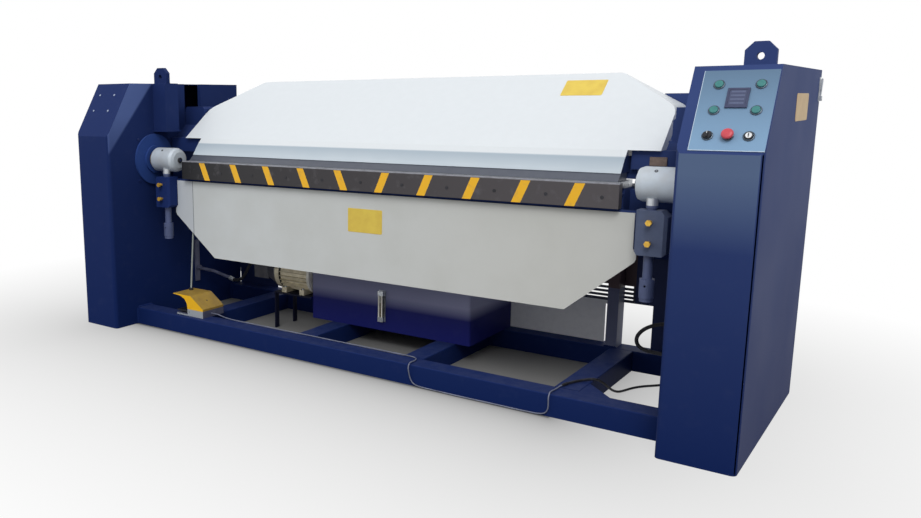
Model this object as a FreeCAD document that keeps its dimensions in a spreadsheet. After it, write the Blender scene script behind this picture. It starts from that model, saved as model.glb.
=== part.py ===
import FreeCAD, Part
import math
import os
import re

import Sketcher

# A floor-standing hydraulic folding machine for sheet metal, 2.5 m working length.
# Millimetres. X runs along the machine, Y from the operator to the back, Z up from the floor.
# The origin is on the floor, under the middle of the machine.

DIMENSIONS = {
    # cabinets
    "half_length": 1810,
    "half_depth": 555,
    "cabinet_height": 1430,
    "kink_z": 1130,
    "panel_run": 180,
    "plate_inner": 1530,
    "plate_thick": 25,
    "cover_wall": 4,
    "front_round": 20,
    "plate_rear": 542,
    "slot_front": 62,
    "slot_rear": 201,
    "slot_bottom": 1130,
    "door_rear": 549,
    "door_sheet": 4,
    "knuckle_radius": 6,
    "knuckle_pin": 3,
    "latch_proud": 12,
    "lug_inner": 1615,
    "lug_outer": 1727,
    "lug_thick": 28,
    "lug_y": -5,
    "lug_top": 1530,
    "lug_corner": 32,
    "lug_hole_z": 1475,
    "lug_hole": 14,
    # base frame
    "rail_high": 100,
    "rail_wide": 110,
    "rail_wall": 8,
    "rail_round": 6,
    "front_rail_y": -387,
    "cross_outer": 1088,
    "cross_inner": 330,
    # folding beam
    "hinge_y": -209,
    "hinge_z": 985,
    "blade_half": 1250,
    "blade_front": -249,
    "blade_rear": -210,
    "blade_top": 984,
    "blade_bottom": 881,
    "blade_edge": 6,
    "apron_front": -218,
    "apron_rear": -210,
    "apron_top": 866,
    "apron_right": 1308,
    "apron_right_ear": 1322,
    "apron_left": 1326,
    "apron_left_ear": 1345,
    "apron_ear_z": 700,
    "apron_foot": 1036,
    "apron_bottom": 430,
    "core_half": 1240,
    "core_rear": -150,
    "core_top": 936,
    "core_bottom": 560,
    "core_wall": 8,
    "boss_inner": 1311,
    "boss_outer": 1485,
    "boss_radius": 70,
    "boss_round": 24,
    "shaft_radius": 40,
    "shaft_end": 1706,
    "block_inner": 1330,
    "block_outer": 1450,
    "block_front": -287,
    "block_top": 888,
    "block_bottom": 709,
    "block_corner": 24,
    "spindle_x": 1380,
    "spindle_y": -249,
    "spindle_radius": 19,
    "cap_radius": 29,
    "cap_top": 612,
    "cap_bottom": 520,
    "block_bolt_x": 1388,
    "block_bolt_high": 843,
    "block_bolt_low": 760,
    "fit_play": 0.05,
    # rack drive of the folding beam
    "gear_module": 8,
    "gear_teeth": 20,
    "gear_in": 1600,
    "gear_out": 1640,
    "tooth_play": 0.5,
    "rack_depth": 40,
    "ram_radius": 20,
    "barrel_radius": 48,
    # upper beam
    "beam_low_y": -105,
    "beam_low_z": 1110,
    "beam_ridge_y": 299,
    "beam_ridge_z": 1435,
    "beam_half": 1360,
    "beam_corner_half": 1355,
    "beam_corner_z": 1280,
    "beam_ridge_half": 1068,
    "beam_wall": 10,
    "beam_back_top": 1338,
    "nose_half": 1229,
    "nose_crease_y": -136,
    "nose_crease_z": 1075,
    "nose_front": -177,
    "nose_bottom": 1018,
    "nose_back": -60,
    "nose_top_back": 65,
    "tip_y": -208.5,
    "tip_z": 986,
    "tip_slope_front": -173,
    "clamp_blade_back": -100,
    "arm_low": 1080,
    "arm_rear": 198,
    "tongue_front": 65,
    "tongue_top": 1255,
    "arm_left_top": 1292,
    "tail_rear": 323,
    "tail_top": 1340,
    "clamp_rod_x": 1608,
    "clamp_rod_y": 132,
    "clamp_rod": 25,
    # lower beam
    "lower_top": 985,
    "lower_blade_deep": 30,
    "lower_front": -136,
    "lower_rear": 100,
    "lower_half": 1236,
    "lower_bottom": 600,
    # control panel
    "button_radius": 14,
    # power pack
    "tank_left": -529,
    "tank_right": 466,
    "tank_front": 45,
    "tank_rear": 535,
    "tank_top": 550,
    "tank_wall": 4,
    "motor_y": 135,
    "motor_z": 330,
    "motor_radius": 104,
    # foot pedal
    "pedal_left": -1235,
    "pedal_right": -1010,
    "pedal_front": -355,
    "pedal_rear": -184,
    "hood_top": 220,
    "pedal_rod_x": -1225,
    "pedal_rod_y": -232,
    "pedal_rod_top": 596,
    "pedal_rod_lean": 35,
}

DOC = FreeCAD.newDocument("FoldingMachine")
DIMS = DOC.addObject("Spreadsheet::Sheet", "Dims")
for row, (word, number) in enumerate(DIMENSIONS.items(), 1):
    DIMS.set(f"A{row}", word)
    DIMS.set(f"B{row}", str(number))
    DIMS.setAlias(f"B{row}", word)
DOC.recompute()

NODES = {}


def bound(text):
    """An expression in which every driving dimension is read from the sheet."""
    return re.sub(r"[A-Za-z_]\w*", lambda m: "Dims." + m[0] if m[0] in DIMENSIONS else m[0], str(text))


def value(text):
    """The number that an expression has now."""
    result = DIMS.evalExpression(bound(text))
    return float(getattr(result, "Value", result))


def node(item, label):
    """Mark an object as one of the machine's named pieces."""
    item.Label = label
    if item.Label != label:
        raise ValueError(f"the name {label} is taken")
    NODES[label] = item
    return item


# Primitive pieces.

TURN_TO = {
    "x": FreeCAD.Rotation(FreeCAD.Vector(0, 1, 0), 90),
    "y": FreeCAD.Rotation(FreeCAD.Vector(1, 0, 0), -90),
    "z": FreeCAD.Rotation(),
}


def block(name, across, along, up):
    """A box between low and high expressions on X, Y and Z."""
    item = DOC.addObject("Part::Box", name)
    for size, letter, (low, high) in zip(("Length", "Width", "Height"), "xyz", (across, along, up)):
        item.setExpression(size, bound(f"({high}) - ({low})"))
        item.setExpression(f"Placement.Base.{letter}", bound(low))
    return item


def round_bar(name, radius, sides):
    """A cylinder, or a prism of so many sides for small round parts, with its corners at the radius."""
    if not sides:
        item = DOC.addObject("Part::Cylinder", name)
        item.setExpression("Radius", bound(radius))
        return item
    item = DOC.addObject("Part::Prism", name)
    item.Polygon = sides
    item.setExpression("Circumradius", bound(radius))
    return item


def rod(name, axis, low, high, centre, radius, sides=0):
    """A round bar along one axis; centre gives the other two coordinates in order."""
    item = round_bar(name, radius, sides)
    item.Placement.Rotation = TURN_TO[axis]
    item.setExpression("Height", bound(f"({high}) - ({low})"))
    places = list(centre)
    places.insert("xyz".index(axis), low)
    for letter, place in zip("xyz", places):
        item.setExpression(f"Placement.Base.{letter}", bound(place))
    return item


def skin_over(rings):
    """A solid with flat sides through rings of corners, each ring with as many corners as the last."""
    faces = [Part.Face(Part.makePolygon(rings[0][::-1] + [rings[0][-1]])),
             Part.Face(Part.makePolygon(rings[-1] + [rings[-1][0]]))]
    for low, high in zip(rings, rings[1:]):
        for step in range(len(low)):
            ahead = (step + 1) % len(low)
            faces.append(Part.Face(Part.makePolygon([low[step], low[ahead], high[ahead], high[step],
                                                     low[step]])))
    solid = Part.Solid(Part.Shell(faces))
    if solid.Volume < 0:
        solid.reverse()
    return solid


def taper(name, sides, steps):
    """A many-sided turned piece about its own Z axis; each step gives a height and a radius."""
    turns = [2 * math.pi * step / sides for step in range(sides)]
    rings = [[FreeCAD.Vector(value(radius) * math.cos(turn), value(radius) * math.sin(turn), value(height))
              for turn in turns] for height, radius in steps]
    item = DOC.addObject("Part::Feature", name)
    item.Shape = skin_over(rings)
    return item


def fuse(name, pieces):
    item = DOC.addObject("Part::MultiFuse", name)
    item.Shapes = pieces
    item.Refine = True
    return item


def group(name, pieces):
    """Separate solids that share one node."""
    item = DOC.addObject("Part::Compound", name)
    item.Links = pieces
    return item


def cut(name, base, tools):
    item = DOC.addObject("Part::Cut", name)
    item.Base = base
    item.Tool = tools[0] if len(tools) == 1 else group(name + "_tools", tools)
    item.Refine = True
    return item


def common(name, first, second):
    item = DOC.addObject("Part::Common", name)
    item.Base = first
    item.Tool = second
    item.Refine = True
    return item


def mirrored(name, source):
    """The same piece on the other side of the machine's middle plane."""
    item = DOC.addObject("Part::Mirroring", name)
    item.Source = source
    item.Normal = FreeCAD.Vector(1, 0, 0)
    return item


def both_sides(label, right):
    """One node that holds a right-hand piece and its mirror image."""
    return node(group(label, [right, mirrored(label + "_mirrored", right)]), label)


def left_and_right(label, right):
    """Two nodes: the right-hand piece and its mirror image."""
    node(right, "right_" + label)
    return node(mirrored("left_" + label, right), "left_" + label)


# Profiled pieces: a body with a sketch on one of its own planes, padded along the third axis.


def plane_of(body, plane):
    for feature in body.Origin.OriginFeatures:
        if feature.Role == plane + "_Plane":
            return feature
    raise ValueError(plane)


def axis_of(body, letter):
    for feature in body.Origin.OriginFeatures:
        if feature.Role == letter + "_Axis":
            return feature
    raise ValueError(letter)


def pin(drawing, kind, element, end, place):
    """Hold a sketch point at an expression's distance from the sketch's own axis."""
    if abs(value(place)) < 1e-9:
        axis = -2 if kind == "DistanceX" else -1
        drawing.addConstraint(Sketcher.Constraint("PointOnObject", element, end, axis))
        return
    number = drawing.addConstraint(Sketcher.Constraint(kind, -1, 1, element, end, value(place)))
    drawing.setExpression(f"Constraints[{number}]", bound(place))


def sketch(body, plane, offset):
    drawing = body.newObject("Sketcher::SketchObject", body.Name + "_sketch")
    drawing.AttachmentSupport = (plane_of(body, plane), [""])
    drawing.MapMode = "FlatFace"
    drawing.setExpression("AttachmentOffset.Base.z", bound(offset))
    return drawing


def outline(drawing, points):
    """A closed polygon whose corners are pairs of expressions."""
    spots = [FreeCAD.Vector(value(across), value(up), 0) for across, up in points]
    first = drawing.GeometryCount
    count = len(spots)
    for step in range(count):
        drawing.addGeometry(Part.LineSegment(spots[step], spots[(step + 1) % count]), False)
    for step in range(count):
        following = first + (step + 1) % count
        drawing.addConstraint(Sketcher.Constraint("Coincident", first + step, 2, following, 1))
    for step, (across, up) in enumerate(points):
        pin(drawing, "DistanceX", first + step, 1, across)
        pin(drawing, "DistanceY", first + step, 1, up)


def circle(drawing, centre, radius):
    middle = FreeCAD.Vector(value(centre[0]), value(centre[1]), 0)
    ring = Part.Circle(middle, FreeCAD.Vector(0, 0, 1), value(radius))
    element = drawing.addGeometry(ring, False)
    pin(drawing, "DistanceX", element, 3, centre[0])
    pin(drawing, "DistanceY", element, 3, centre[1])
    number = drawing.addConstraint(Sketcher.Constraint("Radius", element, value(radius)))
    drawing.setExpression(f"Constraints[{number}]", bound(radius))


def draw(drawing, shapes):
    """Draw polygons, given as lists of corners, and circles, given as (centre, radius)."""
    for shape in shapes:
        if isinstance(shape, tuple):
            circle(drawing, *shape)
        else:
            outline(drawing, shape)


def pad(body, plane, shapes, low, high):
    """Add a prism between two places on the axis that the plane faces along."""
    offset = f"-({high})" if plane == "XZ" else low
    drawing = sketch(body, plane, offset)
    draw(drawing, shapes)
    feature = body.newObject("PartDesign::Pad", body.Name + "_pad")
    feature.Profile = drawing
    feature.setExpression("Length", bound(f"({high}) - ({low})"))
    body.Tip = feature
    DOC.recompute()
    return feature


def pocket(body, plane, shapes, low, high):
    """Take a prism away between two places on the axis that the plane faces along."""
    before = body.Shape.Volume
    offset = f"-({low})" if plane == "XZ" else high
    drawing = sketch(body, plane, offset)
    draw(drawing, shapes)
    feature = body.newObject("PartDesign::Pocket", body.Name + "_pocket")
    feature.Profile = drawing
    feature.setExpression("Length", bound(f"({high}) - ({low})"))
    body.Tip = feature
    DOC.recompute()
    if body.Shape.Volume >= before:
        raise ValueError(f"a pocket in {body.Name} cuts nothing")
    return feature


def prism(name, plane, shapes, low, high):
    body = DOC.addObject("PartDesign::Body", name)
    pad(body, plane, shapes, low, high)
    return body


def edges_along(shape, axis, corners):
    """Names of the straight edges that run along an axis through the given corners."""
    others = [k for k in range(3) if k != "xyz".index(axis)]
    wanted = [(value(a), value(b)) for a, b in corners]
    found = []
    for number, edge in enumerate(shape.Edges, 1):
        ends = [vertex.Point for vertex in edge.Vertexes]
        if len(ends) != 2:
            continue
        if any(abs(ends[0][k] - ends[1][k]) > 1e-6 for k in others):
            continue
        if any(math.dist([ends[0][k] for k in others], spot) < 1e-3 for spot in wanted):
            found.append(f"Edge{number}")
    if len(found) < len(wanted):
        raise ValueError("a corner has no edge")
    return found


def soften(body, kind, axis, corners, size):
    """A fillet or chamfer on the edges that run along an axis through the given corners."""
    base = body.Tip
    names = edges_along(base.Shape, axis, corners)
    feature = body.newObject("PartDesign::" + kind, body.Name + "_" + kind.lower())
    feature.Base = (base, names)
    feature.setExpression("Radius" if kind == "Fillet" else "Size", bound(size))
    body.Tip = feature
    DOC.recompute()
    return feature


def rectangle(low, high, bottom, top):
    return [(low, bottom), (high, bottom), (high, top), (low, top)]


def polygon(centre, radius, sides):
    """A regular polygon's corners about a centre."""
    turns = [2 * math.pi * step / sides for step in range(sides)]
    return [(f"({centre[0]}) + ({radius}) * ({math.cos(turn):.6f})",
             f"({centre[1]}) + ({radius}) * ({math.sin(turn):.6f})") for turn in turns]


def hexagon(centre, flat):
    """A hexagon from its width across flats."""
    return polygon(centre, f"({flat}) / sqrt(3)", 6)


# Cabinets: a thick side plate that carries the beams, and a folded sheet cover outside it.


def cabinet_outline(inset, rear):
    """The cabinet's side view, drawn in by a wall's thickness."""
    slope = "sqrt(panel_run^2 + (cabinet_height - kink_z)^2)"
    along = f"({inset}) * {slope} / (cabinet_height - kink_z)"
    drop = f"(({along}) - ({inset})) * (cabinet_height - kink_z) / panel_run"
    return [
        (f"-half_depth + ({inset})", inset),
        (rear, inset),
        (rear, f"cabinet_height - ({inset})"),
        (f"-half_depth + panel_run + ({along}) - ({inset}) * panel_run / (cabinet_height - kink_z)",
         f"cabinet_height - ({inset})"),
        (f"-half_depth + ({inset})", f"kink_z - ({drop})"),
    ]


def side_plate():
    body = prism("side_plate", "YZ", [cabinet_outline("0", "plate_rear")],
                 "plate_inner", "plate_inner + plate_thick")
    slot = rectangle("slot_front", "slot_rear", "slot_bottom", "cabinet_height + 10")
    pocket(body, "YZ", [slot], "plate_inner", "plate_inner + plate_thick")
    bearing_seat = (("hinge_y", "hinge_z"), "shaft_radius + 15")
    pocket(body, "YZ", [bearing_seat], "plate_inner", "plate_inner + plate_thick")
    soften(body, "Fillet", "z", [("plate_inner", "-half_depth")], "front_round")
    return body


both_sides("side_plates", side_plate())


def cabinet_cover():
    """Front, slope, top, floor and outer side in one folded sheet, open to the plate and the back."""
    body = prism("cabinet_cover", "YZ", [cabinet_outline("0", "door_rear - door_sheet - 1")],
                 "plate_inner + plate_thick", "half_length")
    soften(body, "Fillet", "z", [("half_length", "-half_depth")], "front_round")
    pocket(body, "YZ", [cabinet_outline("cover_wall", "door_rear")],
           "plate_inner + plate_thick", "half_length - cover_wall")
    return body


def cabinet_door():
    """A flat rear door with three hinge knuckles on its inner edge."""
    sheet = block("door_sheet_right", ("plate_inner + 12", "half_length"),
                  ("door_rear - door_sheet", "door_rear"), ("cover_wall", "cabinet_height - 2"))
    parts = [sheet]
    for number, height in enumerate(DOOR_HINGES):
        parts.append(block(f"door_leaf_{number}", ("plate_inner + 4", "plate_inner + 12"),
                           ("door_rear - door_sheet", "door_rear"), (height, f"{height} + 60")))
        parts.append(rod(f"door_knuckle_{number}", "z", height, f"{height} + 60",
                         ("plate_inner + 4", "door_rear"), "knuckle_radius", 8))
    bore = rod("door_bore", "z", "cover_wall", "cabinet_height",
               ("plate_inner + 4", "door_rear"), "knuckle_pin * 1.1 + fit_play", 8)
    return cut("cabinet_door", fuse("door_solid", parts), [bore])


DOOR_HINGES = (200, 700, 1200)
left_and_right("cabinet_door", cabinet_door())


def door_hinges():
    """Pins with a fixed knuckle above and below each door knuckle."""
    parts = []
    for number, height in enumerate(DOOR_HINGES):
        parts.append(rod(f"hinge_pin_{number}", "z", height - 30, height + 90,
                         ("plate_inner + 4", "door_rear"), "knuckle_pin", 8))
        for end, (low, high) in enumerate(((height - 30, height - 0.5), (height + 60.5, height + 90))):
            parts.append(rod(f"fixed_knuckle_{number}_{end}", "z", low, high,
                             ("plate_inner + 4", "door_rear"), "knuckle_radius", 8))
            parts.append(block(f"fixed_leaf_{number}_{end}", ("plate_inner", "plate_inner + 4"),
                               ("plate_rear", "door_rear"), (low, high)))
    return fuse("door_hinge_right", parts)


LATCH_Z = 1350


def latch_base():
    """The draw latch's plate with two ears, on the outer side near the back edge."""
    plate = block("latch_plate", ("half_length", "half_length + 2"), ("505", "535"),
                  (LATCH_Z - 50, LATCH_Z + 50))
    ears = [block(f"latch_ear_{n}", ("half_length + 2", "half_length + latch_proud"), (low, low + 3),
                  (LATCH_Z - 48, LATCH_Z - 28)) for n, low in enumerate((507, 530))]
    hole = rod("latch_ear_hole", "y", "500", "540", ("half_length + 7", LATCH_Z - 38),
               "2.5 * 1.1 + fit_play", 8)
    return cut("latch_base", fuse("latch_base_solid", [plate] + ears), [hole])


def latch_lever():
    """The latch's silver lever, which lifts off the side about the pin at its foot."""
    body = prism("latch_lever", "XZ",
                 [[("half_length + 4", LATCH_Z - 30), ("half_length + 9", LATCH_Z - 30),
                   ("half_length + latch_proud", LATCH_Z + 40), ("half_length + 9", LATCH_Z + 46),
                   ("half_length + 4", LATCH_Z + 40)]], "512", "528")
    pin_rod = rod("latch_pin", "y", "507", "533", ("half_length + 7", LATCH_Z - 38), "2.5", 8)
    barrel = rod("latch_barrel", "y", "512", "528", ("half_length + 7", LATCH_Z - 38), "4.5", 8)
    web = block("latch_web", ("half_length + 4.5", "half_length + 9"), ("512", "528"),
                (LATCH_Z - 38, LATCH_Z - 29))
    return fuse("latch_lever_solid", [body, pin_rod, barrel, web])


both_sides("door_hardware", group("door_hardware_right", [door_hinges(), latch_base()]))
left_and_right("latch_lever", latch_lever())


def lifting_lug():
    middle = "(lug_inner + lug_outer) / 2"
    shape = rectangle("lug_inner", "lug_outer", "cabinet_height", "lug_top")
    body = prism("lifting_lug", "XZ", [shape], "lug_y", "lug_y + lug_thick")
    pocket(body, "XZ", [((middle, "lug_hole_z"), "lug_hole")], "lug_y", "lug_y + lug_thick")
    soften(body, "Chamfer", "y", [("lug_inner", "lug_top"), ("lug_outer", "lug_top")], "lug_corner")
    return body


both_sides("lifting_lugs", lifting_lug())


# Base frame: box-section rails along and across the machine.


def rail(name, plane, low_side, low_end, high_end):
    """A box-section rail lying on the floor, with its bore."""
    high_side = f"({low_side}) + rail_wide"
    body = prism(name, plane, [rectangle(low_side, high_side, "0", "rail_high")], low_end, high_end)
    axis = "x" if plane == "YZ" else "y"
    corners = [(low_side, "rail_high"), (high_side, "rail_high")]
    soften(body, "Fillet", axis, corners, "rail_round")
    bore = rectangle(f"({low_side}) + rail_wall", f"({high_side}) - rail_wall",
                     "rail_wall", "rail_high - rail_wall")
    pocket(body, plane, [bore], low_end, high_end)
    return body


node(group("base_rails", [rail("rail_front", "YZ", "front_rail_y", "-plate_inner", "plate_inner"),
                          rail("rail_rear", "YZ", "half_depth - rail_wide", "-plate_inner", "plate_inner")]),
     "base_rails")

cross_members = []
for side in ("", "-"):
    for place in ("cross_outer", "cross_inner"):
        start = f"{side}{place} - rail_wide / 2"
        cross_members.append(rail(f"cross_{place}_{'left' if side else 'right'}", "XZ", start,
                                  "front_rail_y + rail_wide", "half_depth - rail_wide"))


def base_gusset():
    """A flat corner plate between the front rail and the outer cross member."""
    edge = "cross_outer + rail_wide / 2"
    back = "front_rail_y + rail_wide"
    return prism("base_gusset", "XY", [[(edge, back), (f"{edge} + 130", back), (edge, f"{back} + 130")]],
                 "rail_high - 12", "rail_high - 2")


gusset = base_gusset()
node(group("base_cross_members", cross_members + [gusset, mirrored("base_gusset_left", gusset)]),
     "base_cross_members")


# Folding beam: striped blade, apron, box core behind it, and the parts that hang it on its bosses.


def folding_blade():
    shape = rectangle("blade_front", "blade_rear", "blade_bottom", "blade_top")
    body = prism("folding_blade", "YZ", [shape], "-blade_half", "blade_half")
    soften(body, "Chamfer", "x", [("blade_front", "blade_top")], "blade_edge")
    return body


BLADE_SCREW_X = (-1183, -945, -710, -475, -237, 0, 237, 475, 710, 945, 1183)


def blade_screws():
    heads = [rod(f"blade_screw_{n}", "y", "blade_front - 1.5", "blade_front", (x, "925"), "8", 12)
             for n, x in enumerate(BLADE_SCREW_X)]
    return group("blade_screws", heads)


node(folding_blade(), "folding_blade")
node(blade_screws(), "blade_screws")


def apron():
    """The light grey front plate, with an ear on each side and the two long lower chamfers."""
    right = [("apron_foot", "apron_bottom"), ("apron_right_ear", "apron_ear_z - 30"),
             ("apron_right_ear", "apron_ear_z"), ("apron_right", "apron_ear_z + 22"),
             ("apron_right", "apron_top")]
    left = [("-apron_left", "apron_top"), ("-apron_left", "apron_ear_z + 22"),
            ("-apron_left_ear", "apron_ear_z"), ("-apron_left_ear", "apron_ear_z - 30"),
            ("-apron_foot", "apron_bottom")]
    body = prism("apron", "XZ", [right + left], "apron_front", "apron_rear")
    soften(body, "Chamfer", "y", [("apron_right_ear", "apron_ear_z - 30"),
                                  ("-apron_left_ear", "apron_ear_z - 30")], "8")
    return body


node(apron(), "apron")


def folding_core():
    """The box that stiffens the folding beam behind the apron."""
    right = [("core_half - 90", "core_bottom"), ("core_half", "core_bottom + 80"),
             ("core_half", "core_top")]
    left = [(f"-({across})", up) for across, up in reversed(right)]
    body = prism("core_box", "XZ", [right + left], "apron_rear", "core_rear")
    hollow = rectangle("apron_rear + core_wall", "core_rear - core_wall",
                       "core_bottom + core_wall", "core_top - core_wall")
    pocket(body, "YZ", [hollow], "-core_half", "core_half")
    return body


def end_bracket():
    """A thick plate from the core's end out to the adjusting block."""
    shape = rectangle("core_half", "block_outer + 30", "block_bottom - 4", "block_top - 15")
    body = prism("end_bracket", "XZ", [shape], "apron_rear", "apron_rear + 34")
    soften(body, "Chamfer", "y", [("block_outer + 30", "block_top - 15")], "20")
    return body


bracket = end_bracket()
node(fuse("folding_core", [folding_core(), bracket, mirrored("end_bracket_left", bracket)]),
     "folding_core")


def trunnion_boss():
    """The silver boss on the hinge axis, turned in one piece with its shaft through the side plate."""
    body = DOC.addObject("PartDesign::Body", "boss_turned")
    rim = [(f"boss_inner + boss_round * {1 - math.cos(math.radians(turn)):.5f}",
            f"boss_radius - boss_round * {1 - math.sin(math.radians(turn)):.5f}")
           for turn in (0, 45, 90)]
    drawing = sketch(body, "XY", "0")
    draw(drawing, [[("boss_inner", "0")] + rim + [
        ("boss_outer - 3", "boss_radius"), ("boss_outer", "boss_radius - 3"),
        ("boss_outer", "shaft_radius"), ("shaft_end", "shaft_radius"), ("shaft_end", "0")]])
    turned = body.newObject("PartDesign::Revolution", "boss_turning")
    turned.Profile = drawing
    turned.ReferenceAxis = (axis_of(body, "X"), [""])
    turned.Angle = 360
    body.Tip = turned
    body.setExpression("Placement.Base.y", bound("hinge_y"))
    body.setExpression("Placement.Base.z", bound("hinge_z"))
    DOC.recompute()
    bolt = prism("boss_end_bolt", "YZ", [hexagon(("hinge_y", "hinge_z"), "24")],
                 "boss_inner - 10", "boss_inner")
    return fuse("trunnion_boss", [body, bolt])


both_sides("trunnion_bosses", trunnion_boss())


def adjusting_block():
    """The block under each boss: bored for the spindle and drilled for its two clamp bolts."""
    shape = rectangle("block_inner", "block_outer", "block_front", "apron_rear")
    body = prism("adjusting_block", "XY", [shape], "block_bottom", "block_top")
    soften(body, "Chamfer", "z", [("block_inner", "block_front"), ("block_outer", "block_front")],
           "block_corner / 2")
    soften(body, "Chamfer", "y", [("block_outer", "block_top")], "block_corner")
    soften(body, "Chamfer", "y", [("block_inner", "block_bottom"), ("block_outer", "block_bottom")],
           "block_corner / 2")
    spindle_bore = polygon(("spindle_x", "spindle_y"), "spindle_radius + fit_play", 24)
    pocket(body, "XY", [spindle_bore], "block_bottom", "block_top")
    bolts = [polygon(("block_bolt_x", place), "8", 8) for place in ("block_bolt_high", "block_bolt_low")]
    pocket(body, "XZ", bolts, "block_front", "spindle_y")
    return body


both_sides("adjusting_blocks", adjusting_block())


def block_bolts():
    """Two yellow-plated bolts whose ends press on the spindle."""
    parts = []
    tip = "spindle_y - spindle_radius - 0.5"
    for number, place in enumerate(("block_bolt_high", "block_bolt_low")):
        shank = prism(f"bolt_shank_{number}", "XZ", [polygon(("block_bolt_x", place), "7.9", 8)],
                      "block_front - 14", tip)
        head = prism(f"bolt_head_{number}", "XZ", [hexagon(("block_bolt_x", place), "22")],
                     "block_front - 28", "block_front - 14")
        parts.append(fuse(f"bolt_{number}", [shank, head]))
    return group("block_bolt_pair", parts)


both_sides("block_bolts", block_bolts())


def spindle():
    """The adjusting spindle from the collar under the boss down to its turned cap with a tommy hole."""
    centre = ("spindle_x", "spindle_y")
    stem = rod("spindle_stem", "z", "cap_top", "block_top + 8", centre, "spindle_radius", 24)
    collar = rod("spindle_collar", "z", "block_top + 8", "hinge_z - boss_radius + 20", centre,
                 "spindle_radius + 3", 24)
    seat = rod("spindle_seat", "x", "boss_inner", "boss_outer", ("hinge_y", "hinge_z"), "boss_radius")
    cap = rod("spindle_cap", "z", "cap_bottom + 14", "cap_top", centre, "cap_radius", 24)
    lip = rod("spindle_cap_lip", "z", "cap_bottom", "cap_bottom + 14", centre, "cap_radius - 3", 24)
    tommy_hole = rod("tommy_hole", "y", "spindle_y - cap_radius - 1", "spindle_y",
                     ("spindle_x", "cap_top - 27"), "5", 8)
    return fuse("spindle", [stem, cut("spindle_cap_drilled", cap, [tommy_hole]), lip,
                            cut("spindle_foot", collar, [seat])])


both_sides("spindles", spindle())


# Rack drive in each cabinet: the folding beam's shaft carries a pinion that a rack turns.


def gap_half_angle(radius):
    """Half the angle of a pinion's tooth gap at a radius, for an involute flank."""
    pitch = value("gear_module * gear_teeth / 2")
    base = pitch * math.cos(math.radians(20))
    involute = lambda angle: math.tan(angle) - angle
    turned = involute(math.acos(base / max(radius, base))) - involute(math.radians(20))
    half_tooth = math.pi / 2 / value("gear_teeth") - value("tooth_play") / pitch - turned
    return math.pi / value("gear_teeth") - half_tooth


def pinion():
    """A spur pinion about its body's own X axis: one tooth gap is cut, then repeated round it."""
    pitch = "gear_module * gear_teeth / 2"
    tip = value(f"{pitch} + gear_module * 0.9")
    root = value(f"{pitch} - gear_module * 1.25")
    body = DOC.addObject("PartDesign::Body", "pinion")
    bore = (("0", "0"), "shaft_radius")
    pad(body, "YZ", [(("0", "0"), f"{pitch} + gear_module * 0.9"), bore], "gear_in", "gear_out")
    radii = (root, value(pitch), tip + 2)
    upper = [(-r * math.cos(gap_half_angle(r)), r * math.sin(gap_half_angle(r))) for r in radii]
    lower = [(across, -up) for across, up in reversed(upper)]
    gap = [(f"{across:.4f}", f"{up:.4f}") for across, up in upper + lower]
    first = pocket(body, "YZ", [gap], "gear_in", "gear_out")
    teeth = body.newObject("PartDesign::PolarPattern", "pinion_teeth")
    teeth.Originals = [first]
    teeth.Axis = (axis_of(body, "X"), [""])
    teeth.Angle = 360
    teeth.setExpression("Occurrences", bound("gear_teeth"))
    body.Tip = teeth
    body.setExpression("Placement.Base.y", bound("hinge_y"))
    body.setExpression("Placement.Base.z", bound("hinge_z"))
    DOC.recompute()
    return body


both_sides("drive_pinions", pinion())

PITCH_LINE = "hinge_y - gear_module * gear_teeth / 2"
RACK_ROOT = f"{PITCH_LINE} - gear_module * 1.25"
RACK_TIP = f"{PITCH_LINE} + gear_module * 0.9"
RACK_BACK = f"{RACK_ROOT} - rack_depth"
RACK_PITCH = "gear_module * pi"
TEETH_BELOW = 9
TEETH_ABOVE = 2
RAM_Y = f"{RACK_ROOT} - rack_depth / 2"
RAM_X = "(gear_in + gear_out) / 2"


def rack():
    """A straight rack in front of the pinion: one tooth, repeated along its body's own Z axis."""
    body = DOC.addObject("PartDesign::Body", "drive_rack")
    low = f"hinge_z - {TEETH_BELOW + 0.7} * {RACK_PITCH}"
    high = f"hinge_z + {TEETH_ABOVE + 0.7} * {RACK_PITCH}"
    pad(body, "YZ", [rectangle(RACK_BACK, RACK_ROOT, low, high)], "gear_in", "gear_out")
    half_pitch = f"gear_module * {math.pi / 4:.6f} - tooth_play"
    flank = math.tan(math.radians(20))
    at_root = f"({half_pitch} + gear_module * {1.25 * flank:.6f})"
    at_tip = f"({half_pitch} - gear_module * {0.9 * flank:.6f})"
    centre = f"(hinge_z - {TEETH_BELOW} * {RACK_PITCH})"
    tooth = [(f"{RACK_ROOT} - 1", f"{centre} - {at_root}"), (RACK_ROOT, f"{centre} - {at_root}"),
             (RACK_TIP, f"{centre} - {at_tip}"), (RACK_TIP, f"{centre} + {at_tip}"),
             (RACK_ROOT, f"{centre} + {at_root}"), (f"{RACK_ROOT} - 1", f"{centre} + {at_root}")]
    first = pad(body, "YZ", [tooth], "gear_in", "gear_out")
    row = body.newObject("PartDesign::LinearPattern", "rack_teeth")
    row.Originals = [first]
    row.Direction = (axis_of(body, "Z"), [""])
    row.Occurrences = TEETH_BELOW + TEETH_ABOVE + 1
    row.setExpression("Length", bound(f"{TEETH_BELOW + TEETH_ABOVE} * {RACK_PITCH}"))
    body.Tip = row
    DOC.recompute()
    return body


def ram(name, centre, low, high, radius, piston_top, piston_radius):
    """A cylinder's rod with its piston at the lower end."""
    stem = rod(name + "_stem", "z", low, high, centre, radius, 16)
    piston = rod(name + "_piston", "z", low, piston_top, centre, piston_radius, 16)
    return fuse(name, [stem, piston])


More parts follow.
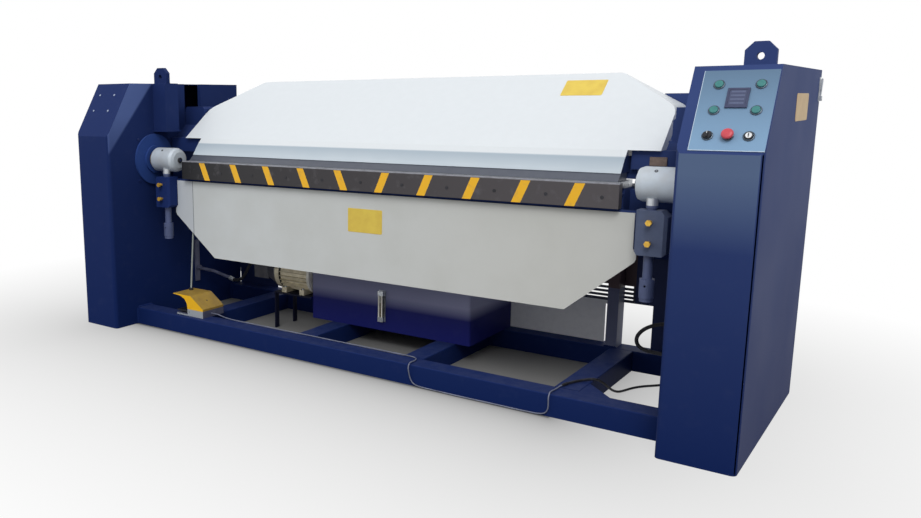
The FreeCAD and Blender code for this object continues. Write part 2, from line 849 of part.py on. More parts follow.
def barrel(name, centre, low, gland, high, bore, gland_bore, bracket):
    """A cylinder barrel with a closed foot, a gland at its top and a bracket to the side plate."""
    shell = rod(name + "_shell", "z", low, high, centre, "barrel_radius", 16)
    chamber = rod(name + "_chamber", "z", f"{low} + 14", gland, centre, bore, 16)
    seal = rod(name + "_seal", "z", gland, high, centre, gland_bore, 16)
    return cut(name, fuse(name + "_solid", [shell, bracket]), [chamber, seal])


def rack_with_ram():
    low = f"hinge_z - {TEETH_BELOW + 0.7} * {RACK_PITCH}"
    return fuse("rack_with_ram", [rack(), ram("bend_ram", (RAM_X, RAM_Y), "320", low, "ram_radius", "355",
                                              "36 - fit_play")])


def clamp_ram():
    return ram("clamp_ram", ("clamp_rod_x", "clamp_rod_y"), "700", "beam_low_z + 45", "clamp_rod", "735",
               "40 - fit_play")


def hydraulic_cylinders():
    """In each cabinet: the bending cylinder's barrel, the rack's guide and the clamping barrel."""
    outer_face = "plate_inner + plate_thick"
    bend_bracket = block("bend_bracket", (outer_face, RAM_X), (f"{RAM_Y} - 30", f"{RAM_Y} + 30"),
                         ("240", "290"))
    clamp_bracket = block("clamp_bracket", (outer_face, "clamp_rod_x"),
                          ("clamp_rod_y - 30", "clamp_rod_y + 30"), ("560", "610"))
    return group("cylinder_set", [
        barrel("bend_cylinder", (RAM_X, RAM_Y), "240", "650", "690", "36", "ram_radius + fit_play",
               bend_bracket),
        barrel("clamp_cylinder", ("clamp_rod_x", "clamp_rod_y"), "560", "1000", "1040", "40",
               "clamp_rod + fit_play", clamp_bracket),
        block("rack_guide", (outer_face, "gear_out + 12"),
              (f"{RACK_BACK} - 40", f"{RACK_BACK} - tooth_play"), ("hinge_z - 60", "hinge_z + 60")),
    ])


left_and_right("drive_rack", rack_with_ram())
both_sides("hydraulic_cylinders", hydraulic_cylinders())
both_sides("clamp_rams", clamp_ram())


# Bearings of the folding beam in the side plates.


def pivot_flange():
    """The round flange on the side plate's face, with its raised hub, round the bush."""
    body = prism("pivot_flange", "YZ", [(("hinge_y", "hinge_z"), "150")], "plate_inner - 12", "plate_inner")
    pad(body, "YZ", [(("hinge_y", "hinge_z"), "82")], "plate_inner - 24", "plate_inner - 12")
    pocket(body, "YZ", [(("hinge_y", "hinge_z"), "shaft_radius + 15")], "plate_inner - 24", "plate_inner")
    return body


def pivot_bush():
    body = prism("pivot_bush", "YZ",
                 [(("hinge_y", "hinge_z"), "shaft_radius + 15"),
                  (("hinge_y", "hinge_z"), "shaft_radius + fit_play")],
                 "plate_inner - 30", "plate_inner + plate_thick + 15")
    return body


def flange_screws():
    """Hexagon heads on the side plate round the flange."""
    heads = []
    for number in range(4):
        angle = math.radians(45 + 90 * number)
        spot = (f"hinge_y + 172 * ({math.cos(angle):.5f})", f"hinge_z + 172 * ({math.sin(angle):.5f})")
        heads.append(prism(f"flange_screw_{number}", "YZ", [hexagon(spot, "13")],
                           "plate_inner - 7", "plate_inner"))
    return group("flange_screw_set", heads)


both_sides("pivot_flanges", pivot_flange())
both_sides("pivot_bushes", pivot_bush())


# Upper beam: a welded hollow wedge with a nose, a clamping blade and an arm at each end.

FACE_RUN = "(beam_ridge_y - beam_low_y)"
FACE_RISE = "(beam_ridge_z - beam_low_z)"
FACE_LONG = f"sqrt({FACE_RUN}^2 + {FACE_RISE}^2)"
SIDE_RUN = "(beam_corner_half - beam_ridge_half)"
SIDE_RISE = "(beam_ridge_z - beam_corner_z)"
SIDE_LONG = f"sqrt({SIDE_RUN}^2 + {SIDE_RISE}^2)"
FACE_SHIFT = f"(beam_wall * {FACE_LONG} / {FACE_RISE})"
SIDE_SHIFT = f"(beam_wall * {SIDE_LONG} / {SIDE_RISE})"


def beam_hexagon(name, inset, extra, low, high):
    """The beam's front view as a prism; extra carries the inner one out through the bottom."""
    shift = f"({inset} * {SIDE_LONG} / {SIDE_RISE})"
    corner = f"(beam_corner_half - {inset})"
    corner_z = f"(beam_corner_z - ({shift} - {inset}) * {SIDE_RISE} / {SIDE_RUN})"
    top = f"(beam_ridge_half - {shift} - {extra} * {SIDE_RUN} / {SIDE_RISE})"
    right = [(f"beam_half - {inset}", f"beam_low_z - {extra}"), (corner, corner_z),
             (top, f"beam_ridge_z + {extra}")]
    left = [(f"-({across})", up) for across, up in reversed(right)]
    return prism(name, "XZ", [right + left], low, high)


def beam_wedge(name, shift, extra, half):
    """The beam's end view as a prism: the slanting front face, the back and the bottom."""
    low = f"(beam_low_y + {shift} - {extra} * {FACE_RUN} / {FACE_RISE})"
    back = f"(beam_ridge_y + {extra})"
    top = f"(beam_ridge_z - {shift} * {FACE_RISE} / {FACE_RUN} + {extra} * {FACE_RISE} / {FACE_RUN})"
    return prism(name, "YZ", [[(low, f"beam_low_z - {extra}"), (back, f"beam_low_z - {extra}"),
                               (back, top)]], f"-({half})", half)


def beam_skin():
    outer_view = beam_hexagon("skin_view", "0", "0", "beam_low_y", "beam_ridge_y")
    soften(outer_view, "Fillet", "y",
           [(f"{sign}beam_corner_half", "beam_corner_z") for sign in ("", "-")], "55")
    soften(outer_view, "Fillet", "y",
           [(f"{sign}beam_ridge_half", "beam_ridge_z") for sign in ("", "-")], "70")
    outer = common("skin_outer", outer_view, beam_wedge("skin_end_view", "0", "0", "beam_half"))
    inner_view = beam_hexagon("hollow_view", "beam_wall", "20", "beam_low_y", "beam_ridge_y + 20")
    inner = common("skin_inner", inner_view,
                   beam_wedge("hollow_end_view", FACE_SHIFT, "20", "beam_half - beam_wall"))
    return cut("beam_skin", outer, [inner])


node(beam_skin(), "upper_beam_skin")


def beam_back():
    """The upright plate inside the back of the wedge."""
    side = f"(beam_corner_half - {SIDE_SHIFT} - (beam_back_top - beam_corner_z) * {SIDE_RUN} / {SIDE_RISE})"
    right = [("beam_half - beam_wall - 8", "beam_low_z"),
             ("beam_half - beam_wall - 8", "beam_corner_z - 20"), (f"{side} - 4", "beam_back_top")]
    left = [(f"-({across})", up) for across, up in reversed(right)]
    return prism("beam_back", "XZ", [right + left], "beam_ridge_y - 24", "beam_ridge_y - 12")


def beam_ribs():
    """Five upright webs between the front face and the back plate."""
    inner_low = f"(beam_low_y + {FACE_SHIFT})"
    back = "(beam_ridge_y - 24)"
    top = f"(beam_low_z + ({back} - {inner_low}) * {FACE_RISE} / {FACE_RUN})"
    ribs = []
    for number, place in enumerate((-1040, -520, 0, 520, 1040)):
        ribs.append(prism(f"beam_rib_{number}", "YZ", [[(inner_low, "beam_low_z"), (back, "beam_low_z"),
                                                        (back, top)]], place - 6, place + 6))
    return group("beam_rib_set", ribs)


node(fuse("upper_beam_frame", [beam_back(), beam_ribs()]), "upper_beam_frame")

NOSE_VIEW = [("beam_low_y", "beam_low_z"), ("nose_crease_y", "nose_crease_z"), ("nose_front", "nose_bottom"),
             ("nose_back", "nose_bottom"), ("nose_top_back", "beam_low_z")]
node(prism("upper_beam_nose", "YZ", [NOSE_VIEW], "-nose_half", "nose_half"), "upper_beam_nose")
node(prism("clamp_blade", "YZ", [[("tip_y", "tip_z"), ("clamp_blade_back", "tip_z"),
                                  ("clamp_blade_back", "nose_bottom"), ("tip_slope_front", "nose_bottom")]],
           "-nose_half", "nose_half"), "clamp_blade")


def guide_arm(name, head):
    """A thick arm welded to the beam's end, with the tongue that runs in the side plate's slot.

    Its front edge slants as the beam's face does. A low plate under the beam's end and an upright
    plate behind it are welded to the arm.
    """
    front = [("-30", "beam_low_z"), ("-60", "beam_low_z"), ("-60", "arm_low"), ("arm_rear", "arm_low")]
    body = prism(name, "YZ", [front + head], "beam_half", "plate_inner - 6")
    pad(body, "YZ", [rectangle("tongue_front", "arm_rear", "beam_low_z + 45", "tongue_top")],
        "plate_inner - 6", "clamp_rod_x + 40")
    pad(body, "YZ", [rectangle("-84", "-60", "arm_low - 50", "beam_low_z")], "nose_half + 11",
        "plate_inner - 30")
    tail = [("arm_rear", "beam_low_z"), ("tail_rear", "beam_low_z"), ("tail_rear", "tail_top"),
            ("tail_rear - 20", "tail_top"), ("tail_rear - 20", "tongue_top"), ("arm_rear", "tongue_top")]
    pad(body, "YZ", [tail], "beam_half", "beam_half + 40")
    pad(body, "YZ", [rectangle("tail_rear - 20", "tail_rear", "beam_low_z", "tail_top")],
        "beam_half - 110", "beam_half")
    return body


right_head = [("arm_rear", "tongue_top"), ("150", "tongue_top")]
left_head = [("arm_rear", "arm_left_top"), ("tongue_front - 5", "arm_left_top"),
             ("tongue_front - 5", "beam_low_z + (tongue_front + 25) * 0.8056")]
left_arm = guide_arm("guide_arm_left_source", left_head)
soften(left_arm, "Chamfer", "y", [("beam_half", "arm_left_top"), ("plate_inner - 6", "arm_left_top")], "14")
node(group("guide_arms", [guide_arm("guide_arm_right", right_head),
                          mirrored("guide_arm_left", left_arm)]), "guide_arms")


def clamp_housing_left():
    """The plain guide housing on the left side plate, on its ledge."""
    body = prism("housing_left", "XY", [rectangle("-plate_inner", "-plate_inner + 108", "-200", "-95")],
                 "1156", "cabinet_height")
    pad(body, "XY", [rectangle("-plate_inner", "-plate_inner + 116", "-207", "-88")], "1148", "1156")
    return body


def clamp_housing_right():
    """The stepped guide housing on the right side plate."""
    body = prism("housing_right", "XZ",
                 [[("plate_inner", "1156"), ("plate_inner", "1284"), ("plate_inner - 98", "1284"),
                   ("plate_inner - 98", "1243"), ("plate_inner - 107", "1232"),
                   ("plate_inner - 107", "1156")]], "-200", "-95")
    pad(body, "XY", [rectangle("plate_inner - 116", "plate_inner", "-207", "-88")], "1148", "1156")
    return body


node(group("clamp_housings", [clamp_housing_left(), clamp_housing_right()]), "clamp_housings")


# Lower beam: a hollow box with the lower blade on its front edge and a thick arm to each side plate.


def lower_beam():
    """A welded box, closed at both ends."""
    right = [("lower_half - 160", "lower_bottom"), ("lower_half", "lower_bottom + 70"),
             ("lower_half", "lower_top - lower_blade_deep")]
    left = [(f"-({across})", up) for across, up in reversed(right)]
    body = prism("lower_box", "XZ", [right + left], "lower_front", "lower_rear")
    inner_right = [("lower_half - 164", "lower_bottom + 14"), ("lower_half - 14", "lower_bottom + 80"),
                   ("lower_half - 14", "lower_top - lower_blade_deep - 14")]
    inner_left = [(f"-({across})", up) for across, up in reversed(inner_right)]
    pocket(body, "XZ", [inner_right + inner_left], "lower_front + 14", "lower_rear - 14")
    return body


lower_arm = block("lower_arm", ("lower_half", "plate_inner"), ("-60", "lower_rear"),
                  ("lower_bottom + 80", "lower_top - lower_blade_deep - 10"))
node(fuse("lower_beam", [lower_beam(), lower_arm, mirrored("lower_arm_left", lower_arm)]), "lower_beam")
node(prism("lower_blade", "YZ", [[("blade_rear + 2", "lower_top"), ("-40", "lower_top"),
                                  ("-40", "lower_top - lower_blade_deep"),
                                  ("lower_front", "lower_top - lower_blade_deep"),
                                  ("blade_rear + 2", "lower_top - 10")]],
           "-lower_half", "lower_half"), "lower_blade")


# Back of the machine: posts, slatted guard, wing sheets and a low sheet.


def rear_post():
    """A channel post on the rear rail, open to the back."""
    body = prism("rear_post", "XY", [rectangle("1003", "1058", "half_depth - 100", "half_depth - 12")],
                 "rail_high", "560")
    pocket(body, "XY", [rectangle("1009", "1052", "half_depth - 94", "half_depth - 12")], "rail_high", "560")
    return body


SLAT_STEP = 21
SLAT_COUNT = 4


def rear_guard():
    """Thin level slats across the back under a board, a sheet on each side, and the posts they hang on."""
    slats = [block("slat_lowest", ("-1110", "1110"), ("half_depth - 12", "half_depth - 6"), ("316", "330")),
             block("guard_board", ("-1110", "1110"), ("half_depth - 12", "half_depth - 6"), ("402", "560"))]
    for number in range(1, SLAT_COUNT):
        low = 318 + number * SLAT_STEP
        slats.append(block(f"slat_{number}", ("-1110", "1110"), ("half_depth - 12", "half_depth - 6"),
                           (low, low + 9)))
    wing = block("rear_wing", ("1100", "plate_inner"), ("half_depth - 12", "half_depth - 7"), ("316", "560"))
    skirt = block("rear_skirt", ("1198", "plate_inner - 4"), ("half_depth - 12", "half_depth - 7"),
                  ("rail_high", "316"))
    side = fuse("rear_side", [wing, skirt, rear_post()])
    return fuse("rear_guard", slats + [side, mirrored("rear_side_left", side)])


node(rear_guard(), "rear_guard")
node(block("rear_panel", ("464", "970"), ("half_depth - 20", "half_depth - 16"), ("rail_high", "310")),
     "rear_panel")


# Power pack: tank, electric motor, pump and valves.


def oil_tank():
    """A welded tank with rounded upright corners, open at the top under its lid."""
    body = prism("tank_shell", "XY", [rectangle("tank_left", "tank_right", "tank_front", "tank_rear")],
                 "rail_high", "tank_top")
    corners = [(across, along) for across in ("tank_left", "tank_right")
               for along in ("tank_front", "tank_rear")]
    soften(body, "Fillet", "z", corners, "12")
    hollow = rectangle("tank_left + tank_wall", "tank_right - tank_wall", "tank_front + tank_wall",
                       "tank_rear - tank_wall")
    pocket(body, "XY", [hollow], "rail_high + tank_wall", "tank_top")
    return body


def tank_lid():
    """The bolted lid with its filler neck and breather cap."""
    lid = block("lid_plate", ("tank_left", "tank_right"), ("tank_front", "tank_rear"),
                ("tank_top", "tank_top + 6"))
    neck = rod("filler_neck", "z", "tank_top + 6", "tank_top + 26", ("300", "tank_front + 110"), "20", 16)
    cap = rod("filler_cap", "z", "tank_top + 26", "tank_top + 44", ("300", "tank_front + 110"), "34", 20)
    return fuse("tank_lid", [lid, neck, cap])


node(tank_lid(), "tank_lid")


def level_gauge():
    """The sight gauge on the tank's front: a backing strip, two end fittings and the glass."""
    strip = block("gauge_strip", ("-72", "-32"), ("tank_front - 6", "tank_front"), ("150", "322"))
    glass = rod("gauge_glass", "z", "178", "294", ("-52", "tank_front - 15"), "8", 12)
    ends = [block(f"gauge_end_{n}", ("-69", "-35"), ("tank_front - 24", "tank_front - 6"), (low, high))
            for n, (low, high) in enumerate(((152, 178), (294, 320)))]
    return fuse("level_gauge", [strip, glass] + ends)


node(level_gauge(), "level_gauge")


MOTOR_FINS = 26


def motor_fins():
    """The ribbed housing about its body's own X axis: one gap between two fins, repeated round it."""
    body = DOC.addObject("PartDesign::Body", "motor_fins")
    pad(body, "YZ", [(("0", "0"), "motor_radius - 1")], "-766", "-560")
    foot = "(motor_radius - 13)"
    half_low = f"({foot} * {math.sin(math.pi / MOTOR_FINS):.6f} - 1.8)"
    half_high = f"((motor_radius + 2) * {math.sin(math.pi / MOTOR_FINS):.6f} - 1.4)"
    gap = [(foot, f"-{half_low}"), ("motor_radius + 2", f"-{half_high}"),
           ("motor_radius + 2", half_high), (foot, half_low)]
    first = pocket(body, "YZ", [gap], "-766", "-560")
    fins = body.newObject("PartDesign::PolarPattern", "motor_fin_pattern")
    fins.Originals = [first]
    fins.Axis = (axis_of(body, "X"), [""])
    fins.Angle = 360
    fins.Occurrences = MOTOR_FINS
    body.Tip = fins
    body.setExpression("Placement.Base.y", bound("motor_y"))
    body.setExpression("Placement.Base.z", bound("motor_z"))
    DOC.recompute()
    return body


def motor_body():
    """The finned motor with its drive-end shield, terminal box and feet."""
    shield = rod("motor_shield", "x", "-802", "-766", ("motor_y", "motor_z"), "motor_radius - 4", 24)
    feet = [block(f"motor_foot_{n}", (low, low + 34), ("motor_y - 92", "motor_y + 92"),
                  ("motor_z - motor_radius - 6", "motor_z - motor_radius + 24"))
            for n, low in enumerate((-750, -620))]
    box = block("motor_terminal_box", ("-730", "-630"), ("motor_y - 45", "motor_y + 45"),
                ("motor_z + motor_radius - 16", "motor_z + motor_radius + 52"))
    return fuse("motor_body", [motor_fins(), shield, box] + feet)


node(motor_body(), "motor_body")
node(rod("motor_fan_cowl", "x", "-560", "tank_left - 12", ("motor_y", "motor_z"), "motor_radius + 2", 36),
     "motor_fan_cowl")


def motor_shelf():
    """The shelf that carries the motor, on two legs that stand on the outer cross member's side."""
    top = "motor_z - motor_radius - 6"
    shelf = block("shelf_plate", ("-800", "tank_left"), ("motor_y - 100", "motor_y + 100"),
                  (f"{top} - 10", top))
    legs = [block(f"shelf_leg_{n}", ("-800", "-790"), (f"motor_y + {low}", f"motor_y + {low} + 30"),
                  ("0", f"{top} - 10")) for n, low in enumerate((-100, 70))]
    return fuse("motor_shelf", [shelf] + legs)


node(fuse("oil_tank", [oil_tank(), motor_shelf()]), "oil_tank")


def bell_housing():
    """The housing that widens from the pump to the motor's flange."""
    cone = taper("bell_cone", 24, [("0", "62"), ("78", "motor_radius - 8")])
    cone.Placement.Rotation = TURN_TO["x"]
    for letter, position in zip("xyz", ("-888", "motor_y", "motor_z")):
        cone.setExpression(f"Placement.Base.{letter}", bound(position))
    flange = rod("bell_flange", "x", "-810", "-802", ("motor_y", "motor_z"), "motor_radius - 4", 24)
    return fuse("bell_housing", [cone, flange])


def gear_pump():
    """The gear pump with its suction port on top and its pressure port on the left."""
    body = block("pump_body", ("-1000", "-888"), ("motor_y - 48", "motor_y + 48"),
                 ("motor_z - 55", "motor_z + 55"))
    port = rod("pump_port", "x", "-1024", "-1000", ("motor_y", "motor_z + 20"), "15", 12)
    return fuse("gear_pump", [body, port])


node(fuse("pump_unit", [bell_housing(), gear_pump()]), "pump_unit")


# Control panel on the right cabinet's slope: places are measured along X and up the slope.

SLOPE_LONG = "sqrt(panel_run^2 + (cabinet_height - kink_z)^2)"
SLOPE_COS = f"(panel_run / {SLOPE_LONG})"
SLOPE_SIN = f"((cabinet_height - kink_z) / {SLOPE_LONG})"
SLOPE_TURN = FreeCAD.Rotation(FreeCAD.Vector(1, 0, 0), value("atan((cabinet_height - kink_z) / panel_run)"))


def on_slope(item, across, up, proud):
    """Turn a piece to the slope and set its corner or centre at a place on it."""
    item.Placement.Rotation = SLOPE_TURN
    item.setExpression("Placement.Base.x", bound(across))
    item.setExpression("Placement.Base.y",
                       bound(f"-half_depth + ({up}) * {SLOPE_COS} - ({proud}) * {SLOPE_SIN}"))
    item.setExpression("Placement.Base.z",
                       bound(f"kink_z + ({up}) * {SLOPE_SIN} + ({proud}) * {SLOPE_COS}"))
    return item


def slope_rod(name, across, up, low, high, radius, sides=12):
    item = round_bar(name, radius, sides)
    item.setExpression("Height", bound(f"({high}) - ({low})"))
    return on_slope(item, across, up, low)


def slope_block(name, across, up, proud):
    item = DOC.addObject("Part::Box", name)
    for size, (low, high) in zip(("Length", "Width", "Height"), (across, up, proud)):
        item.setExpression(size, bound(f"({high}) - ({low})"))
    return on_slope(item, across[0], up[0], proud[0])


BUTTON_PLACES = {"top_left": (1625, 270), "top_right": (1757, 270),
                 "low_left": (1625, 168), "low_right": (1757, 168)}
STOP_PLACE = (1687, 69)
SELECTOR_PLACE = (1622, 69)
KEY_PLACE = (1751, 69)
PANEL_SHEET = 3
BUTTON_HOLE = "button_radius / 0.9659 + 0.4"


def control_panel():
    """The blue face plate with a bezel round each control."""
    plate = slope_block("panel_plate", ("1568", "1807"), ("12", "328"), ("0", PANEL_SHEET))
    controls = list(BUTTON_PLACES.values()) + [STOP_PLACE, SELECTOR_PLACE, KEY_PLACE]
    bezels = [slope_rod(f"bezel_{n}", across, up, "0", PANEL_SHEET + 4, "button_radius + 4")
              for n, (across, up) in enumerate(controls)]
    holes = [slope_rod(f"bezel_hole_{n}", across, up, "-1", PANEL_SHEET + 5, BUTTON_HOLE)
             for n, (across, up) in enumerate(controls)]
    return cut("control_panel", fuse("panel_solid", [plate] + bezels), holes)


def stem_hole(name, place):
    return slope_rod(name, *place, "-30", "1", "6", 8)


def cabinet_covers():
    """The two covers; the right one is drilled for the stems of the controls."""
    cover = cabinet_cover()
    controls = list(BUTTON_PLACES.values()) + [STOP_PLACE, SELECTOR_PLACE, KEY_PLACE]
    drilled = cut("cover_drilled", cover, [stem_hole(f"stem_hole_{n}", place)
                                           for n, place in enumerate(controls)])
    return group("cabinet_covers", [drilled, mirrored("cover_left", cover)])


def push_button(name, place):
    cap = slope_rod(name + "_cap", *place, PANEL_SHEET + 1, PANEL_SHEET + 9, "button_radius")
    stem = slope_rod(name + "_stem", *place, "-24", PANEL_SHEET + 1, "5", 8)
    return fuse(name, [cap, stem])


def emergency_stop():
    """A mushroom head on a neck."""
    neck = slope_rod("stop_neck", *STOP_PLACE, PANEL_SHEET + 1, PANEL_SHEET + 12, "button_radius - 2")
    stem = slope_rod("stop_stem", *STOP_PLACE, "-24", PANEL_SHEET + 1, "5", 8)
    head = taper("stop_head", 16, [("0", "18"), ("3", "20"), ("8", "19"), ("12", "14")])
    return fuse("emergency_stop", [neck, stem, on_slope(head, *STOP_PLACE, PANEL_SHEET + 12)])


def turning_knob(name, place, grip):
    """A round knob with a raised grip bar across it."""
    base = slope_rod(name + "_base", *place, PANEL_SHEET + 1, PANEL_SHEET + 11, "button_radius")
    stem = slope_rod(name + "_stem", *place, "-24", PANEL_SHEET + 1, "5", 8)
    across, up = place
    bar = slope_block(name + "_bar", (across - grip / 2, across + grip / 2), (up - 11, up + 11),
                      (PANEL_SHEET + 11, PANEL_SHEET + 19))
    return fuse(name, [base, stem, bar])


def display_unit():
    """The square display: a raised frame round a sunk window."""
    frame = slope_block("display_frame", ("1657", "1727"), ("177", "254"), (PANEL_SHEET, PANEL_SHEET + 6))
    window = slope_block("display_window", ("1664", "1720"), ("186", "246"),
                         (PANEL_SHEET + 4, PANEL_SHEET + 7))
    return cut("display_unit", frame, [window])


node(cabinet_covers(), "cabinet_covers")
node(control_panel(), "control_panel")
node(display_unit(), "display_unit")
for word, place in BUTTON_PLACES.items():
    node(push_button("button_" + word, place), f"{word}_button")
node(emergency_stop(), "emergency_stop")
node(turning_knob("mode_selector", SELECTOR_PLACE, 7), "mode_selector")
node(turning_knob("key_switch", KEY_PLACE, 4), "key_switch")


def cabinet_screws():
    """Screw heads on the left slope and round both pivot flanges."""
    heads = [slope_rod(f"slope_screw_{n}", across, up, "0", "3", "6", 8)
             for n, (across, up) in enumerate(((-1747, 272), (-1619, 272), (-1747, 168), (-1619, 168)))]
    right = flange_screws()
    return group("cabinet_screws", heads + [right, mirrored("flange_screws_left", right)])


node(cabinet_screws(), "cabinet_screws")


# Foot pedal on the front rail: base, hood, treadle and carrying rod.


def pedal_base():
    """A floor plate with a raised box under the hood, notched for the treadle's pivot."""
    body = prism("pedal_base", "XY",
                 [[("pedal_right", "pedal_front"), ("pedal_right", "pedal_rear"),
                   ("pedal_left + 14", "pedal_rear"), ("pedal_left", "pedal_rear - 14"),
                   ("pedal_left", "pedal_front + 14"), ("pedal_left + 14", "pedal_front")]],
                 "rail_high", "rail_high + 8")
    pad(body, "XY", [rectangle("pedal_right - 124", "pedal_right", "pedal_front", "pedal_rear")],
        "rail_high + 8", "rail_high + 40")
    notch = rectangle("pedal_right - 124", "pedal_right - 95", "pedal_front + 4", "pedal_rear - 4")
    pocket(body, "XY", [notch], "rail_high + 12", "rail_high + 40")
    pivot = polygon(("pedal_right - 110", "rail_high + 24"), "3.4", 8)
    pocket(body, "XZ", [pivot], "pedal_front", "pedal_rear")
    return body


def pedal_hood():
    """The sheet hood over the treadle, open to the left, with a lip over the foot's way in."""
    right = "pedal_right"
    low = "rail_high + 40"
    view = [(right, low), (right, f"{low} + 12"), (f"{right} - 98", "hood_top"),
            ("pedal_left - 15", "hood_top"), ("pedal_left - 15", "hood_top - 3"),
            (f"{right} - 180", "hood_top - 8"), (f"{right} - 146", "hood_top - 24"),
            (f"{right} - 128", "hood_top - 50"), (f"{right} - 124", low)]
    body = prism("pedal_hood", "XZ", [view], "pedal_front", "pedal_rear")
    hollow = [(f"{right} - 3", f"{low} - 1"), (f"{right} - 3", f"{low} + 10.5"),
              (f"{right} - 99", "hood_top - 3"), ("pedal_left - 20", "hood_top - 3"),
              ("pedal_left - 20", f"{low} - 1")]
    pocket(body, "XZ", [hollow], "pedal_front + 3", "pedal_rear - 3")
    return body


def pedal_treadle():
    """The ribbed treadle plate on its pivot pin."""
    centre = ("pedal_right - 110", "rail_high + 24")
    barrel_part = rod("treadle_barrel", "y", "pedal_front + 4.5", "pedal_rear - 4.5", centre, "6", 8)
    pin_part = rod("treadle_pin", "y", "pedal_front + 0.5", "pedal_rear - 0.5", centre, "3", 8)
    plate = block("treadle_plate", ("pedal_left + 8", "pedal_right - 110"),
                  ("pedal_front + 8", "pedal_rear - 8"), ("rail_high + 21", "rail_high + 26"))
    ribs = [block(f"treadle_rib_{n}", (f"pedal_left + {16 + 16 * n}", f"pedal_left + {22 + 16 * n}"),
                  ("pedal_front + 16", "pedal_rear - 16"), ("rail_high + 26", "rail_high + 28"))
            for n in range(5)]
    return fuse("pedal_treadle", [barrel_part, pin_part, plate] + ribs)


def pedal_rod():
    """The carrying rod that leans back from its grommet on the hood's top."""
    grommet = rod("pedal_rod_grommet", "z", "hood_top", "hood_top + 12", ("pedal_rod_x", "pedal_rod_y"),
                  "13", 12)
    stem = round_bar("pedal_rod_stem", "5", 10)
    rise = "(pedal_rod_top - hood_top)"
    stem.setExpression("Height", bound(f"sqrt({rise}^2 + pedal_rod_lean^2)"))
    stem.Placement.Rotation = FreeCAD.Rotation(FreeCAD.Vector(1, 0, 0),
                                               -value(f"atan(pedal_rod_lean / {rise})"))
    for letter, place in zip("xyz", ("pedal_rod_x", "pedal_rod_y", "hood_top + 0.5")):
        stem.setExpression(f"Placement.Base.{letter}", bound(place))
    return fuse("pedal_rod", [grommet, stem])


node(pedal_base(), "pedal_base")
node(pedal_hood(), "pedal_hood")
node(pedal_treadle(), "pedal_treadle")
node(pedal_rod(), "pedal_rod")


# Hoses and cables, each a many-sided tube through its own route.


def smooth_line(spots):
    """Points on the smooth curve that a route's corners draw.

    Each piece of it is a parabola between the middles of two runs, drawn towards their corner.
    """
    halves = [(a + b) * 0.5 for a, b in zip(spots[1:-2], spots[2:-1])]
    marks = [spots[0]] + halves + [spots[-1]]
    turns = [(corner - low).getAngle(high - corner)
             for low, corner, high in zip(marks, spots[1:-1], marks[1:])]
    line = [spots[0]]
    for number, (low, corner, high) in enumerate(zip(marks, spots[1:-1], marks[1:])):
        line.append(low * 0.25 + corner * 0.5 + high * 0.25)
        if max(turns[number:number + 2]) > math.radians(7) or number == len(turns) - 1:
            line.append(high)
    return line


def tube(name, points, radius, sides=8):
    """A tube whose sections lie on the planes that halve each turn, so that every side is flat."""
    spots = [FreeCAD.Vector(*point) for point in points]
    line = smooth_line(spots)
    runs = [(b - a).normalize() for a, b in zip(line, line[1:])]
    planes = [(spots[1] - spots[0]).normalize()]
    planes += [(a + b).normalize() for a, b in zip(runs, runs[1:])]
    planes.append((spots[-1] - spots[-2]).normalize())
    across = runs[0].cross(FreeCAD.Vector(0, 0, 1)).normalize()
    up = across.cross(runs[0])
    loop = [line[0] + (across * math.cos(turn) + up * math.sin(turn)) * radius
            for turn in (2 * math.pi * (step + 0.5) / sides for step in range(sides))]
    loops = []
    for number, (place, normal) in enumerate(zip(line, planes)):
        run = runs[max(number - 1, 0)]
        loop = [corner + run * ((place - corner).dot(normal) / run.dot(normal)) for corner in loop]
        loops.append(loop)
    item = DOC.addObject("Part::Feature", name)
    item.Shape = skin_over(loops)
    bends = []
    for before, corner, after in zip(spots, spots[1:], spots[2:]):
        reach = 0.45 * min((corner - before).Length, (after - corner).Length)
        bends.append(reach / math.tan((corner - before).getAngle(after - corner) / 2))
    length = sum((b - a).Length for a, b in zip(line, line[1:]))
    section = sides / 2 * radius ** 2 * math.sin(2 * math.pi / sides)
    print(f"{name}: length {length:.0f}, tightest bend {min(bends):.0f}, "
          f"volume / (section x length) {item.Shape.Volume / section / length:.4f}")
    return item


PUMP_HOSE_ROUTE = [
    (-1024, 135, 350), (-1046, 135, 350), (-1068, 135, 341), (-1088, 134, 319), (-1106, 133, 288),
    (-1126, 133, 257), (-1152, 133, 233), (-1184, 134, 221), (-1217, 135, 220), (-1251, 135, 229),
]
LOOP_HOSE_ROUTE = [
    (1506, 345, 290), (1462, 345, 290), (1412, 345, 293), (1358, 345, 293), (1304, 345, 286),
    (1252, 345, 270), (1207, 345, 240), (1181, 346, 198), (1192, 347, 158), (1236, 347, 142),
    (1290, 346, 140), (1346, 345, 141), (1402, 345, 140), (1456, 345, 138), (1506, 345, 138),
]
CONDUIT_ROUTE = [
    (1510, 345, 92), (1474, 345, 92), (1440, 341, 80), (1410, 332, 54), (1380, 316, 28),
    (1344, 292, 13), (1302, 262, 8), (1262, 222, 7.5), (1232, 172, 7.5), (1214, 114, 8),
    (1202, 56, 14), (1192, 6, 34), (1182, -38, 64), (1168, -76, 94), (1146, -110, 111),
    (1118, -142, 109.5), (1094, -174, 107), (1078, -212, 107), (1068, -250, 107),
]
